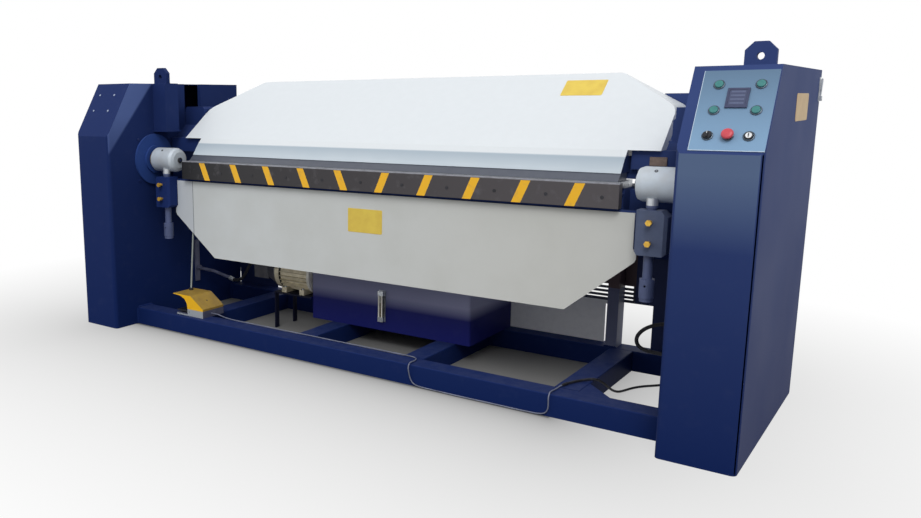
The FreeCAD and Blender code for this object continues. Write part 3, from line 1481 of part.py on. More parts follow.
CABLE_ROUTE = [
    (1068, -250, 107), (1061.3, -275.5, 107), (1059, -306, 105), (1058, -338, 105), (1058, -366, 108.5),
    (1058, -389, 108.5), (1058, -402, 89), (1058, -398, 62), (1056, -394, 36), (1044, -393, 14),
    (1018, -393, 5.5), (972, -394, 4.5), (898, -395, 4), (816, -394, 4), (730, -395, 4),
    (646, -396.5, 4), (562, -395, 4), (484, -394, 4), (424, -394, 5.5), (398, -393, 14),
    (384, -394, 36), (380, -398, 62), (377, -402, 89), (376, -389, 108.5), (375, -366, 108.5),
    (373, -334, 105), (365, -304, 105), (342, -287, 105), (306, -283, 104.5), (236, -282, 104.5),
    (152, -283.5, 104.5), (66, -282, 104.5), (-22, -283.5, 104.5), (-110, -284.2, 104.5),
    (-198, -283, 104.5), (-288, -281.5, 104.5), (-376, -283, 104.5), (-464, -285, 104.5),
    (-552, -283, 104.5), (-640, -284, 104.5), (-726, -282.5, 104.5), (-808, -283.5, 104.5),
    (-876, -283, 106), (-922, -284, 112), (-950, -284, 118), (-980, -284, 120), (-1010, -284, 120),
]


def plate_fittings():
    """On the side plates: the pump hose's steel pipe, two hose unions, the conduit's gland and a strip."""
    end, before = FreeCAD.Vector(*PUMP_HOSE_ROUTE[-1]), FreeCAD.Vector(*PUMP_HOSE_ROUTE[-2])
    along = (end - before).normalize()
    knee = end + along * ((-1380 - end.x) / along.x)
    wall = FreeCAD.Vector(-value("plate_inner"), knee.y, knee.z)
    pipe = tube("steel_pipe_run", [tuple(end), tuple(knee), tuple(wall)], 10, 12)
    nut = prism("pipe_nut", "YZ", [hexagon((knee.y, knee.z), "32")], "-plate_inner", "-plate_inner + 22")
    unions = [prism(f"hose_union_{n}", "YZ", [hexagon(LOOP_HOSE_ROUTE[place][1:], "28")],
                    "1506", "plate_inner") for n, place in enumerate((0, -1))]
    gland = prism("conduit_gland", "YZ", [hexagon(CONDUIT_ROUTE[0][1:], "22")], "1510", "plate_inner")
    strip = block("left_strip", ("-plate_inner", "-plate_inner + 10"), ("105", "141"), ("179", "447"))
    return group("plate_fittings", [fuse("steel_pipe", [pipe, nut]), gland, strip] + unions)


node(plate_fittings(), "plate_fittings")
node(tube("pump_hose", PUMP_HOSE_ROUTE, 9.5), "pump_hose")
node(tube("loop_hose", LOOP_HOSE_ROUTE, 9), "loop_hose")
node(tube("cabinet_conduit", CONDUIT_ROUTE, 5.5), "cabinet_conduit")
node(tube("pedal_cable", CABLE_ROUTE, 3, 6), "pedal_cable")

DOC.recompute()
for item in DOC.Objects:
    if "Invalid" in item.State or "Error" in item.State:
        raise RuntimeError(f"{item.Name}: {item.State}")
for label, item in NODES.items():
    if item.Shape.isNull() or not item.Shape.isValid():
        raise RuntimeError(f"{label} has no valid shape")

os.makedirs("parts", exist_ok=True)
for label, item in NODES.items():
    item.Shape.exportStep(f"parts/{label}.step")
print(f"{len(NODES)} pieces written")
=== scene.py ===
import math

import bpy
import numpy as np
from mathutils import Matrix, Vector


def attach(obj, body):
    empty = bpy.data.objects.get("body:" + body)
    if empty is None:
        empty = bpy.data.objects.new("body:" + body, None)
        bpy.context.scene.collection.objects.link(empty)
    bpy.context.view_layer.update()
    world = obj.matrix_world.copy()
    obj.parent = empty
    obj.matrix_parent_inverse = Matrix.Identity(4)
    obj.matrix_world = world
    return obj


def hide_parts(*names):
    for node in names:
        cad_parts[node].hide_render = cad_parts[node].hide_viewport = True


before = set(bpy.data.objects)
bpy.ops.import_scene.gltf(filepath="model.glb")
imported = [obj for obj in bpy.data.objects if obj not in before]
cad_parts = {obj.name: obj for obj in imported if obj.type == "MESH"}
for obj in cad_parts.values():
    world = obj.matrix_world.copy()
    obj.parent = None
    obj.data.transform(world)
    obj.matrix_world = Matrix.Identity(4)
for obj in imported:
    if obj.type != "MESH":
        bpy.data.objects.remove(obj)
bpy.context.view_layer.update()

scene = bpy.context.scene
scene.view_settings.view_transform = "Standard"

# Camera: a visitor's eye height at the machine's right front corner, looking down a little along
# the beams. The lens is moderately wide, and the picture is cut from the right of its field.
def hold(name, data):
    """An object of the scene that holds a mesh, a curve, a light or a camera."""
    holder = bpy.data.objects.new(name, data)
    scene.collection.objects.link(holder)
    return holder


pan, tilt, roll = math.radians(38.29), math.radians(10.56), math.radians(-0.5)
eye = (2.3375, -3.6945, 1.319)
forward = Vector((-math.sin(pan) * math.cos(tilt), math.cos(pan) * math.cos(tilt),
                  -math.sin(tilt)))
level_right = Vector((math.cos(pan), math.sin(pan), 0))
level_up = level_right.cross(forward)
image_right = math.cos(roll) * level_right + math.sin(roll) * level_up
image_up = -math.sin(roll) * level_right + math.cos(roll) * level_up
camera_data = bpy.data.cameras.new("camera")
camera_data.sensor_width = 36
camera_data.lens = 33.05
camera_data.shift_x = 0.1743
camera_data.clip_end = 100
camera = hold("camera", camera_data)
camera.matrix_world = Matrix(
    [(image_right[k], image_up[k], -forward[k], eye[k]) for k in range(3)] + [(0, 0, 0, 1)])
scene.camera = camera


# Studio: a grey painted floor under a white room, a broad soft key light from the front right
# and a weaker fill from the left. The floor keeps the machine's soft shadow, and its whitening
# stops short of the machine as painted shade round and under it.
def linear(code):
    """sRGB hex value to linear colour with alpha 1."""
    parts = [int(code[k:k + 2], 16) / 255 for k in (1, 3, 5)]
    return tuple(p / 12.92 if p <= 0.04045 else ((p + 0.055) / 1.055) ** 2.4
                 for p in parts) + (1.0,)


def add(tree, kind, *sources, output=None, **settings):
    """One shader node with its settings, given as its output of that name, or else as its first.

    The sources go to its inputs from the top down. Each is another node's output, a value or a
    hex colour, and None leaves an input as it is.
    """
    node = tree.nodes.new("ShaderNode" + kind)
    for key, setting in settings.items():
        setattr(node, key, setting)
    for socket, source in zip([each for each in node.inputs if each.enabled], sources):
        if isinstance(source, bpy.types.NodeSocket):
            tree.links.new(source, socket)
        elif source is not None:
            socket.default_value = linear(source) if isinstance(source, str) else source
    if output:
        return node.outputs[output]
    return next((each for each in node.outputs if each.enabled), None)


def place(tree):
    """The x, y and z of a point of the surface, in metres."""
    return add(tree, "SeparateXYZ", add(tree, "TexCoord", output="Object")).node.outputs


def all_of(tree, product, *factors):
    """The product of factors, which is one only where each of them is."""
    for factor in factors:
        product = add(tree, "Math", product, factor, operation="MULTIPLY")
    return product


def background_rays(tree):
    """One for rays from the camera, off gloss and through glass, which all see the background."""
    seen = add(tree, "LightPath").node.outputs
    gloss = add(tree, "Math", seen["Is Glossy Ray"], seen["Is Transmission Ray"],
                operation="MAXIMUM")
    return add(tree, "Math", seen["Is Camera Ray"], gloss, operation="MAXIMUM")


def studio_floor():
    """Grey paint, whitened to the background further from the base frame, as painted shade near it.
    """
    white_from, reach, level = 2.2, 40, -0.001
    material = bpy.data.materials.new("grey_floor_with_painted_shade")
    material.use_nodes = True
    tree = material.node_tree
    tree.nodes.clear()
    x, y, _ = place(tree)
    beyond = []
    for along, middle, half in ((x, -0.245, 1.305), (y, 0.03, 0.43)):
        shifted = add(tree, "Math", along, middle, operation="SUBTRACT")
        past = add(tree, "Math", add(tree, "Math", shifted, operation="ABSOLUTE"), half,
                   operation="SUBTRACT")
        beyond.append(add(tree, "Math", past, 0.0, operation="MAXIMUM"))
    away = add(tree, "VectorMath", add(tree, "CombineXYZ", *beyond), operation="LENGTH")
    # painted shade: no whitening within the base frame's outline, full whitening 2.2 m from it
    whitening_past_painted_shade = add(tree, "Math", add(tree, "MapRange", away, 0.0, white_from), 0.3,
                   operation="POWER")
    share = all_of(tree, background_rays(tree), whitening_past_painted_shade)
    add(tree, "OutputMaterial", add(tree, "MixShader", share, add(tree, "BsdfDiffuse", "#7c7c7b"),
                                    add(tree, "Emission", "#ffffff", 1.0)))
    mesh = bpy.data.meshes.new("studio_floor")
    mesh.from_pydata([(-reach, -reach, level), (reach, -reach, level), (reach, reach, level),
                      (-reach, reach, level)], [], [(0, 1, 2, 3)])
    mesh.materials.append(material)
    floor = hold("studio_floor", mesh)


def studio_room():
    """A white background, which lights the machine at two thirds of its strength."""
    world = bpy.data.worlds.new("white_room")
    scene.world = world
    world.use_nodes = True
    tree = world.node_tree
    tree.nodes.clear()
    level = add(tree, "MapRange", background_rays(tree), 0, 1, 0.66, 1.0)
    add(tree, "OutputWorld", add(tree, "Background", "#ffffff", level))


def soft_sun(name, heading, strength, spread):
    """A parallel light that shines along a heading, with a soft edge of the given angle."""
    lamp = bpy.data.lights.new(name, "SUN")
    lamp.energy = strength
    lamp.angle = math.radians(spread)
    sun = hold(name, lamp)
    sun.rotation_mode = "QUATERNION"
    sun.rotation_quaternion = Vector(heading).to_track_quat("-Z", "Y")


studio_floor()
studio_room()
soft_sun("key_light", (-0.42, 0.85, -1.0), 1.5, 30)
soft_sun("fill_light", (0.8, 0.5, -0.5), 0.35, 60)


# Hoses and cables: black rubber hose and conduit, and the pale PVC cable of the foot pedal. Each
# lies on one smooth curve from its gland or union to where it ends, with crimped zinc ferrules.
def finish(name, roughness, gloss=0.5, metal=0.0):
    """A material with a principled shader of that roughness, specular level and metallic share."""
    material = bpy.data.materials.new(name)
    material.use_nodes = True
    tree = material.node_tree
    shader = tree.nodes["Principled BSDF"]
    shader.inputs["Roughness"].default_value = roughness
    shader.inputs["Specular IOR Level"].default_value = gloss
    shader.inputs["Metallic"].default_value = metal
    return material, tree, shader


def cloud(tree, size, detail=4.0, roughness=0.55, over=None):
    """Cloudy pattern whose largest patches are about size metres across."""
    over = over or add(tree, "TexCoord", output="Object")
    return add(tree, "TexNoise", over, 1 / size, detail, roughness)


def patches(tree, size, low=0.35, high=0.7, detail=5.0):
    """Cloudy pattern spread so that it runs from 0 to 1 between two of its levels."""
    return add(tree, "MapRange", cloud(tree, size, detail), low, high)


def blend(tree, factor, first, second):
    """Colour that goes from first to second as factor goes from 0 to 1."""
    return add(tree, "Mix", factor, first, second, data_type="RGBA")


def coat(shader, colour, height=None, depth=0.0):
    """Give a shader its colour, and a bump that is depth metres deep."""
    tree = shader.id_data
    tree.links.new(colour, shader.inputs["Base Color"])
    if height is not None:
        bump = add(tree, "Bump", 1.0, depth, None, height)
        tree.links.new(bump, shader.inputs["Normal"])


def uneven_gloss(shader, size, low, high, detail=4.0):
    """Let the roughness wander between two values in patches about size metres across."""
    tree = shader.id_data
    level = add(tree, "MapRange", cloud(tree, size, detail), 0.3, 0.7, low, high)
    tree.links.new(level, shader.inputs["Roughness"])


def rubber_cover():
    """Extruded black rubber: dull, greyed by dust, with a fine cloth mark from its curing wrap."""
    material, tree, shader = finish("extruded_rubber", 0.55, 0.3)
    colour = blend(tree, patches(tree, 0.05, 0.45, 0.75), "#1d1d22", "#3f4048")
    coat(shader, colour, cloud(tree, 0.004), 0.0003)
    return material


def pale_pvc():
    """Pale grey PVC sheath: soft gloss, grubby in patches."""
    material, tree, shader = finish("grey_pvc_sheath", 0.42)
    coat(shader, blend(tree, patches(tree, 0.06, 0.4), "#71768a", "#5a5e70"))
    return material


def zinc_plate(name, bright, dull, roughness, metal=0.85):
    """Zinc plating: metallic, clouded in patches of about 12 mm where it has dulled."""
    material, tree, shader = finish(name, roughness, metal=metal)
    coat(shader, blend(tree, patches(tree, 0.012), bright, dull))
    uneven_gloss(shader, 0.02, roughness - 0.06, roughness + 0.1)
    return material


def smooth_line(name, route, radius, material):
    """A round tube on one smooth curve that the route's points control."""
    curve = bpy.data.curves.new(name, "CURVE")
    curve.dimensions = "3D"
    spline = curve.splines.new("NURBS")
    spline.points.add(len(route) - 1)
    places = np.column_stack([np.array(route) / 1000, np.ones(len(route))])
    spline.points.foreach_set("co", places.ravel())
    spline.order_u = 3
    spline.use_endpoint_u = True
    spline.resolution_u = 6
    curve.bevel_depth = radius
    curve.bevel_resolution = 4
    curve.materials.append(material)
    piece = hold(name, curve)
    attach(piece, "frame")
    return piece


def turned(profile, centre, axis, sides=32, outline=1.0):
    """Rings of a turned part: each (along, radius) step of its profile is a circle about the axis.

    The profile is in millimetres. Where outline is given, it multiplies the radius at each turn,
    which makes a hexagon of a circle.
    """
    axis = np.array(axis, float) / np.linalg.norm(axis)
    across = np.cross(axis, (0.0, 0.0, 1.0) if abs(axis[2]) < 0.9 else (1.0, 0.0, 0.0))
    across /= np.linalg.norm(across)
    turn = np.linspace(0, 2 * np.pi, sides, endpoint=False)
    circle = np.outer(np.cos(turn), across) + np.outer(np.sin(turn), np.cross(axis, across))
    steps = np.array(profile) / 1000
    widths = steps[:, 1, None] * np.broadcast_to(outline, (len(steps), sides))
    return np.array(centre) + steps[:, 0, None, None] * axis + widths[:, :, None] * circle


def skins(name, stacks, material, body, sharp=35):
    """One mesh of closed skins, each from a stack: a run of rings of equal point counts.

    Neighbouring rings are joined by four-sided faces, each end is filled, and the faces are turned
    to look outwards.
    """
    points, faces, first = [], [], 0
    for stack in stacks:
        rings = np.asarray(stack, float)
        count, sides = rings.shape[:2]
        row, step = np.meshgrid(np.arange(count - 1), np.arange(sides), indexing="ij")
        beside = (step + 1) % sides
        walls = np.stack([row * sides + step, row * sides + beside, (row + 1) * sides + beside,
                          (row + 1) * sides + step], axis=-1).reshape(-1, 4)
        spots = rings.reshape(-1, 3)
        a, b, c = (spots[walls[:, k]] - spots.mean(axis=0) for k in (0, 1, 2))
        ends = [np.arange(sides)[::-1], np.arange(sides) + (count - 1) * sides]
        if np.einsum("ij,ij->i", a, np.cross(b, c)).sum() < 0:
            walls, ends = walls[:, ::-1], [end[::-1] for end in ends]
        points.append(spots)
        faces += (walls + first).tolist() + [(end + first).tolist() for end in ends]
        first += len(spots)
    mesh = bpy.data.meshes.new(name)
    mesh.from_pydata(np.concatenate(points).tolist(), [], faces)
    mesh.materials.append(material)
    mesh.shade_smooth()
    mesh.set_sharp_from_angle(angle=math.radians(sharp))
    piece = hold(name, mesh)
    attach(piece, body)
    return piece


def ferrule(start, heading):
    """A crimped ferrule: a sleeve with four pressed grooves, behind a collar at the union."""
    grooves = [(10 + 5 * n + step, radius) for n in range(4)
               for step, radius in ((0, 12.8), (1, 11.8), (3, 11.8), (4, 12.8))]
    return turned([(0, 10.5), (1, 13.5), (8, 13.5), (9, 12.6)] + grooves
                  + [(32, 12.6), (33.5, 11.2), (34, 9.2)], start, heading)


rubber = rubber_cover()
white_zinc = zinc_plate("white_zinc_plate", "#c3c7cb", "#979ca2", 0.36)
# the routes are in millimetres
pump_hose_route = [
    (-1024, 135, 350), (-1046, 135, 350), (-1068, 135, 341), (-1088, 134, 319), (-1106, 133, 288),
    (-1126, 133, 257), (-1152, 133, 233), (-1184, 134, 221), (-1217, 135, 220), (-1251, 135, 229),
]
loop_hose_route = [
    (1506, 345, 290), (1462, 345, 290), (1412, 345, 293), (1358, 345, 293), (1304, 345, 286),
    (1252, 345, 270), (1207, 345, 240), (1181, 346, 198), (1192, 347, 158), (1236, 347, 142),
    (1290, 346, 140), (1346, 345, 141), (1402, 345, 140), (1456, 345, 138), (1506, 345, 138),
]
conduit_route = [
    (1510, 345, 92), (1474, 345, 92), (1440, 341, 80), (1410, 332, 54), (1380, 316, 28),
    (1344, 292, 13), (1302, 262, 8), (1262, 222, 7.5), (1232, 172, 7.5), (1214, 114, 8),
    (1202, 56, 14), (1192, 6, 34), (1182, -38, 64), (1168, -76, 94), (1146, -110, 111),
    (1118, -142, 109.5), (1094, -174, 107), (1078, -212, 107), (1068, -250, 107),
]
cable_route = [
    (1068, -250, 107), (1061.3, -275.5, 107), (1059, -306, 105), (1058, -338, 105),
    (1058, -366, 108.5), (1058, -389, 108.5), (1058, -402, 89), (1058, -398, 62),
    (1056, -394, 36), (1044, -393, 14), (1018, -393, 5.5), (972, -394, 4.5), (898, -395, 4),
    (816, -394, 4), (730, -395, 4), (646, -396.5, 4), (562, -395, 4), (484, -394, 4),
    (424, -394, 5.5), (398, -393, 14), (384, -394, 36), (380, -398, 62), (377, -402, 89),
    (376, -389, 108.5), (375, -366, 108.5), (373, -334, 105), (365, -304, 105),
    (342, -287, 105), (306, -283, 104.5), (236, -282, 104.5), (152, -283.5, 104.5),
    (66, -282, 104.5), (-22, -283.5, 104.5), (-110, -284.2, 104.5), (-198, -283, 104.5),
    (-288, -281.5, 104.5), (-376, -283, 104.5), (-464, -285, 104.5), (-552, -283, 104.5),
    (-640, -284, 104.5), (-726, -282.5, 104.5), (-808, -283.5, 104.5), (-876, -283, 106),
    (-922, -284, 112), (-950, -284, 118), (-980, -284, 120), (-1010, -284, 120),
]
pump_hose = smooth_line("pump_hose_rubber", pump_hose_route, 0.0095, rubber)
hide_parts("pump_hose")
pump_ferrules = skins("pump_hose_ferrules", [ferrule((-1.0235, 0.135, 0.350), (-1, 0, 0)),
                                             ferrule((-1.251, 0.135, 0.229), (0.967, 0, -0.256))],
                      white_zinc, "frame")
loop_hose = smooth_line("loop_hose_rubber", loop_hose_route, 0.009, rubber)
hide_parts("loop_hose")
loop_ferrules = skins("loop_hose_ferrules", [ferrule((1.506, 0.345, 0.290), (-1, 0, 0)),
                                             ferrule((1.506, 0.345, 0.138), (-1, 0, 0.04))],
                      white_zinc, "frame")
conduit = smooth_line("cabinet_conduit_rubber", conduit_route, 0.0055, rubber)
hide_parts("cabinet_conduit")
cable = smooth_line("pedal_cable_sheath", cable_route, 0.003, pale_pvc())
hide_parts("pedal_cable")


# Conduit ends: a moulded rubber taper relieves the conduit at its gland, and a sleeve with two
# grip rings closes it round the thinner pedal cable.
sleeve_profile = [(-20, 6), (-19, 6.8), (-12, 6.8), (-11, 6.2), (-6, 6.2), (-5, 6.8), (4, 6.6),
                  (18, 4.2), (20, 3.4)]
taper_profile = [(0, 9.6), (4, 9.6), (5, 8.4), (8, 8.4), (9, 9.2), (12, 8.8), (13, 7.8),
                 (34, 6.2), (36, 5.7)]
sleeve = skins("conduit_end_sleeve",
               [turned(sleeve_profile, (1.068, -0.250, 0.107), (-0.2534, -0.9674, 0))],
               rubber, "frame")
gland_taper = skins("conduit_gland_taper",
                    [turned(taper_profile, (1.5105, 0.345, 0.092), (-1, 0, 0))],
                    rubber, "frame")


# Cabinets and base: welded side plates and folded covers in deep blue two-pack enamel, sprayed by
# hand, so the gloss is soft and its orange peel faint. Workshop dust greys what looks upwards.
cabinet_front, slope_foot = -0.555, 1.130
slope_run, slope_rise = 0.180, 0.300
navy_tones = ("#3a4a7b", "#142556", 0.5, 0.03)
# painted shade: the navy is deep at the floor and turns to its paler tone by 1.3 m high
navy_painted_shade_heights = (0.0, 1.3)


def facing(tree):
    """The x, y and z of the way that a face looks."""
    return add(tree, "SeparateXYZ", add(tree, "NewGeometry", output="Normal")).node.outputs


def orange_peel(tree):
    """The faint waves of sprayed paint: they are about 3 mm, drawn at 9 mm so that they show."""
    return cloud(tree, 0.009, 2)


def enamel(name, paint, deep, roughness=0.45, gloss=0.15, dust="#6a7088", dusting=0.1,
           painted_shade_heights=(-9.0, -8.0)):
    """Sprayed enamel: slow drift between two tones, handling marks, dust on what looks up.

    Painted light and shade: where painted_shade_heights gives two heights, the deep tone below them
    turns to the paler one above, and everywhere the deep tone gains towards the machine's left end.
    """
    material, tree, shader = finish(name, roughness, gloss)
    x, _, z = place(tree)
    drift = add(tree, "MapRange", cloud(tree, 0.7, 3), 0.35, 0.65, 1.0, 0.85)
    # painted light and shade: the paler tone gives way to the deep one towards the left end
    painted_light_along_x = add(tree, "MapRange", x, -1.6, 1.6, 0.25, 1.0)
    painted_light_and_drift = all_of(tree, add(tree, "MapRange", z, *painted_shade_heights), drift, painted_light_along_x)
    upward = add(tree, "MapRange", facing(tree)[2], 0.55, 1.0, 0, dusting)
    lying = all_of(tree, upward, patches(tree, 0.04, 0.25, 0.6, 6))
    handled = all_of(tree, patches(tree, 0.06, 0.56, 0.72, 9), 0.25 * dusting)
    dirt = add(tree, "Math", handled, lying, operation="MAXIMUM")
    colour = blend(tree, dirt, blend(tree, painted_light_and_drift, deep, paint), dust)
    coat(shader, colour, orange_peel(tree), 0.00003)
    uneven_gloss(shader, 0.5, roughness - 0.03, roughness + 0.04, 2)
    return material


def cover(material, factor, colour):
    """Lay a colour over a material's own, as far as the factor goes from 0 to 1."""
    tree = material.node_tree
    shader = tree.nodes["Principled BSDF"]
    below = shader.inputs["Base Color"].links[0].from_socket
    coat(shader, blend(tree, factor, below, colour))
    return material


def dress(material, *nodes):
    """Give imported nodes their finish."""
    for name in nodes:
        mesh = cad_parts[name].data
        mesh.materials.clear()
        mesh.materials.append(material)


def side_plate_paint():
    """Navy enamel, with a painted reflection as a paler band by the slope on the left inner face.

    The band starts at the slope's edge, and its width is 103 mm at 1.18 m and grows by 26 mm per
    100 mm of height.
    """
    lean, growth = slope_run / slope_rise, 0.264
    material = enamel("side_plate_navy_with_painted_light", *navy_tones, painted_shade_heights=navy_painted_shade_heights)
    tree = material.node_tree
    x, y, z = place(tree)
    inner_edge = add(tree, "Math", z, lean + growth, cabinet_front - lean * slope_foot
                     + 0.103 - growth * 1.180, operation="MULTIPLY_ADD")
    painted_reflection_band = add(tree, "MapRange", add(tree, "Math", y, inner_edge, operation="SUBTRACT"),
               -0.010, 0.010, 1, 0)
    left = add(tree, "Math", x, -1.5, operation="LESS_THAN")
    inwards = add(tree, "Math", facing(tree)[0], 0.7, operation="GREATER_THAN")
    high = add(tree, "MapRange", z, 0.85, 1.25)
    # painted reflection: a paler blue band, high on the left plate's inner face
    return cover(material, all_of(tree, painted_reflection_band, left, inwards, high), "#56699f")


def tank_paint():
    """Navy enamel, paler grey near the top as painted light, and nearly black with oil on the
    motor's stand.
    """
    tank_end = -0.5305
    # painted light: the tone pales above 0.225 m and is fully pale from 0.29 m
    material = enamel("tank_navy_with_painted_light", "#afb2d0", "#181d62", painted_shade_heights=(0.225, 0.29))
    tree = material.node_tree
    stand = add(tree, "Math", place(tree)[0], tank_end, operation="LESS_THAN")
    return cover(material, stand, "#12162c")


def painted_light_on_right_front(material):
    """Grey-blue painted light over the right cabinet's front, from nothing at 0.79 m high to full
    at 1.06 m.
    """
    tree = material.node_tree
    x, _, z = place(tree)
    right = add(tree, "Math", x, 1.5, operation="GREATER_THAN")
    front = add(tree, "Math", facing(tree)[1], -0.9, operation="LESS_THAN")
    high = add(tree, "MapRange", z, 0.79, 1.06)
    # painted light: grey-blue on the front faces of the right cabinet, growing with height
    return cover(material, all_of(tree, high, right, front), "#5a6c8d")


def block_paint():
    """Navy enamel on the left block; the right one is a paler slate blue, as painted light."""
    material, tree, shader = finish("navy_enamel_lit_right_block", 0.5, 0.05)
    right = add(tree, "Math", place(tree)[0], 0.0, operation="GREATER_THAN")
    slate = blend(tree, patches(tree, 0.08), "#616b86", "#566079")
    # painted light: slate blue on the right block, navy on the left
    coat(shader, blend(tree, right, "#1f3064", slate), orange_peel(tree), 0.00003)
    return material


navy = enamel("navy_enamel_with_painted_shade", *navy_tones, painted_shade_heights=navy_painted_shade_heights)
dress(painted_light_on_right_front(side_plate_paint()), "side_plates")
dress(painted_light_on_right_front(enamel("cabinet_navy_with_painted_light", *navy_tones, painted_shade_heights=navy_painted_shade_heights)), "cabinet_covers")
dress(navy, "right_cabinet_door", "left_cabinet_door", "lifting_lugs", "base_rails",
      "base_cross_members", "folding_core", "guide_arms", "clamp_housings", "lower_beam",
      "hydraulic_cylinders", "tank_lid")
dress(enamel("flange_navy_with_painted_shade", "#4d62a0", "#24407f", 0.5, 0.03, painted_shade_heights=navy_painted_shade_heights),
      "pivot_flanges")
dress(tank_paint(), "oil_tank")
dress(block_paint(), "adjusting_blocks")


# Welds: fillet beads laid by hand at the lugs, the base frame and the guide arms' plates, painted
# over with the rest. Ripples are about 3 mm apart; drawn at 12 mm so that they show.
def weld(start, end, first, second, leg=0.007, ripple=0.012):
    """Rings of a fillet: a quarter round between two faces, whose size swells as a cosine."""
    start, reach = np.array(start, float), np.array(end, float) - np.array(start, float)
    length = np.linalg.norm(reach)
    along = np.linspace(0, 1, int(length / 0.003) + 2)
    bend = np.linspace(0, np.pi / 2, 6)
    round_part = np.outer(np.cos(bend), first) + np.outer(np.sin(bend), second)
    root = -0.15 * (np.array(first, float) + np.array(second, float))
    swell = leg * (1 + 0.13 * np.cos(2 * np.pi * along * length / ripple))
    return (start + along[:, None, None] * reach
            + swell[:, None, None] * np.vstack([round_part, root]))


def both_ends(stacks):
    """The rings of one end of the machine, and the same ones mirrored at its other end."""
    return stacks + [np.asarray(stack) * (-1, 1, 1) for stack in stacks]


left, back, forth, up, down = (-1, 0, 0), (0, 1, 0), (0, -1, 0), (0, 0, 1), (0, 0, -1)
plate_face, rail_top, rail_foot = 1.53, 0.1, 0.005
frame_seams = [weld((1.615, y, 1.43), (1.727, y, 1.43), side, up)
               for y, side in ((-0.005, forth), (0.023, back))]
frame_seams += [weld((plate_face, start, rail_top), (plate_face, end, rail_top), left, up)
                for start, end in ((-0.387, -0.277), (0.445, 0.530))]
frame_seams += [weld((plate_face, y, rail_foot), (plate_face, y, rail_top), left, side)
                for y, side in ((-0.387, forth), (-0.277, back), (0.445, forth))]
frame_seams += [weld((1.003, 0.455, rail_top), (1.058, 0.455, rail_top), forth, up),
                weld((1.003, 0.455, rail_top), (1.003, 0.543, rail_top), left, up),
                weld((plate_face, -0.19, 1.148), (plate_face, -0.10, 1.148), left, down)]
arm_seams = [weld((1.36, -0.06, 1.082), (1.36, -0.06, 1.108), left, back, 0.006),
             weld((1.40, 0.303, 1.115), (1.40, 0.303, 1.335), (1, 0, 0), forth, 0.005)]
skins("frame_welds", both_ends(frame_seams), navy, "frame", 60)
skins("arm_welds", both_ends(arm_seams), navy, "upper_beam", 60)


# Arm skirts: a navy sheet hangs under each end of the upper beam, behind the guide arm's low
# plate, and closes the gap above the lower beam.
def plate_blank(centre, wide, high, thick, radius, bevel=0.0004):
    """Rings of a flat plate with round corners, at its back, its bevel's foot and its front.

    The arguments wide and high are the half sizes as vectors; the front looks along wide x high.
    """
    wide, high = np.array(wide, float), np.array(high, float)
    half = np.linalg.norm(wide), np.linalg.norm(high)
    out = np.cross(wide, high) / (half[0] * half[1])
    turn = np.concatenate([np.linspace(0, np.pi / 2, 7) + k * np.pi / 2 for k in range(4)])
    side = np.repeat([(1, 1), (-1, 1), (-1, -1), (1, -1)], 7, axis=0)
    rings = []
    for lift, inset in ((-0.0005, 0), (thick - bevel, 0), (thick, bevel)):
        flat = [side[:, k] * (half[k] - radius) + (radius - inset) * trig(turn)
                for k, trig in enumerate((np.cos, np.sin))]
        rings.append(np.array(centre) + lift * out + np.outer(flat[0], wide / half[0])
                     + np.outer(flat[1], high / half[1]))
    return np.array(rings)


def upright_plate(x, y, z, half_wide, half_high, thick, radius, bevel=0.0004):
    """A plate that looks straight forward, from its centre and its half sizes."""
    return plate_blank((x, y, z), (half_wide, 0, 0), (0, 0, half_high), thick, radius, bevel)


skirts = [upright_plate(side * 1.252, -0.0555, 1.0365, 0.052, 0.048, 0.004, 0.003)
          for side in (1, -1)]
skins("arm_skirts", skirts, navy, "upper_beam")


# Bare plates: thin enamelled aluminium blanks, ochre on the right cabinet and pale yellow on the
# upper beam and the apron. Each is stuck flat and has no lettering.
def blank_plate_paint(name, colour, deep):
    """Enamelled aluminium: an even colour, a little clouded in patches of 50 mm."""
    material, tree, shader = finish(name, 0.38, 0.3)
    coat(shader, blend(tree, patches(tree, 0.05), colour, deep), cloud(tree, 0.006, 2),
         0.00004)
    return material


plate_yellow = blank_plate_paint("yellow_enamelled_aluminium", "#e2c757", "#d8b950")
plate_ochre = blank_plate_paint("ochre_enamelled_aluminium", "#c9a564", "#bd9858")
side_blank = plate_blank((1.810, 0.108, 1.281), (0, 0.138, 0), (0, 0, 0.052), 0.001, 0.012)
skins("side_blank_plate", [side_blank], plate_ochre, "frame")
beam_rise, skin_foot = 0.8045, (-0.105, 1.110)
beam_up = np.array((0, 1, beam_rise)) / math.hypot(1, beam_rise)
beam_blank = plate_blank((0.917, 0.217, skin_foot[1] + (0.217 - skin_foot[0]) * beam_rise),
                         (0.096, 0, 0), 0.0555 * beam_up, 0.001, 0.006)
skins("beam_blank_plate", [beam_blank], plate_yellow, "upper_beam")
apron_blank = upright_plate(0.006, -0.218, 0.730, 0.102, 0.060, 0.001, 0.006)
skins("apron_blank_plate", [apron_blank], plate_yellow, "folding_beam")


# Bright steel: machined rams, pins and blade, and the zinc-plated door and hose hardware. Turned
# faces keep fine rings round the machine's long axis.
def machined(name, bright, dull, roughness, grain, metal=0.85):
    """Machined steel: metallic, with fine tool lines of the given spacing in metres."""
    material, tree, shader = finish(name, roughness, metal=metal)
    stretched = add(tree, "Mapping", add(tree, "TexCoord", output="Object"), None, None,
                    (1, 0.04, 0.04))
    coat(shader, blend(tree, patches(tree, 0.06, detail=6), bright, dull),
         cloud(tree, grain, 2, 0.5, stretched), 0.0002)
    uneven_gloss(shader, 0.02, roughness - 0.08, roughness + 0.12)
    return material


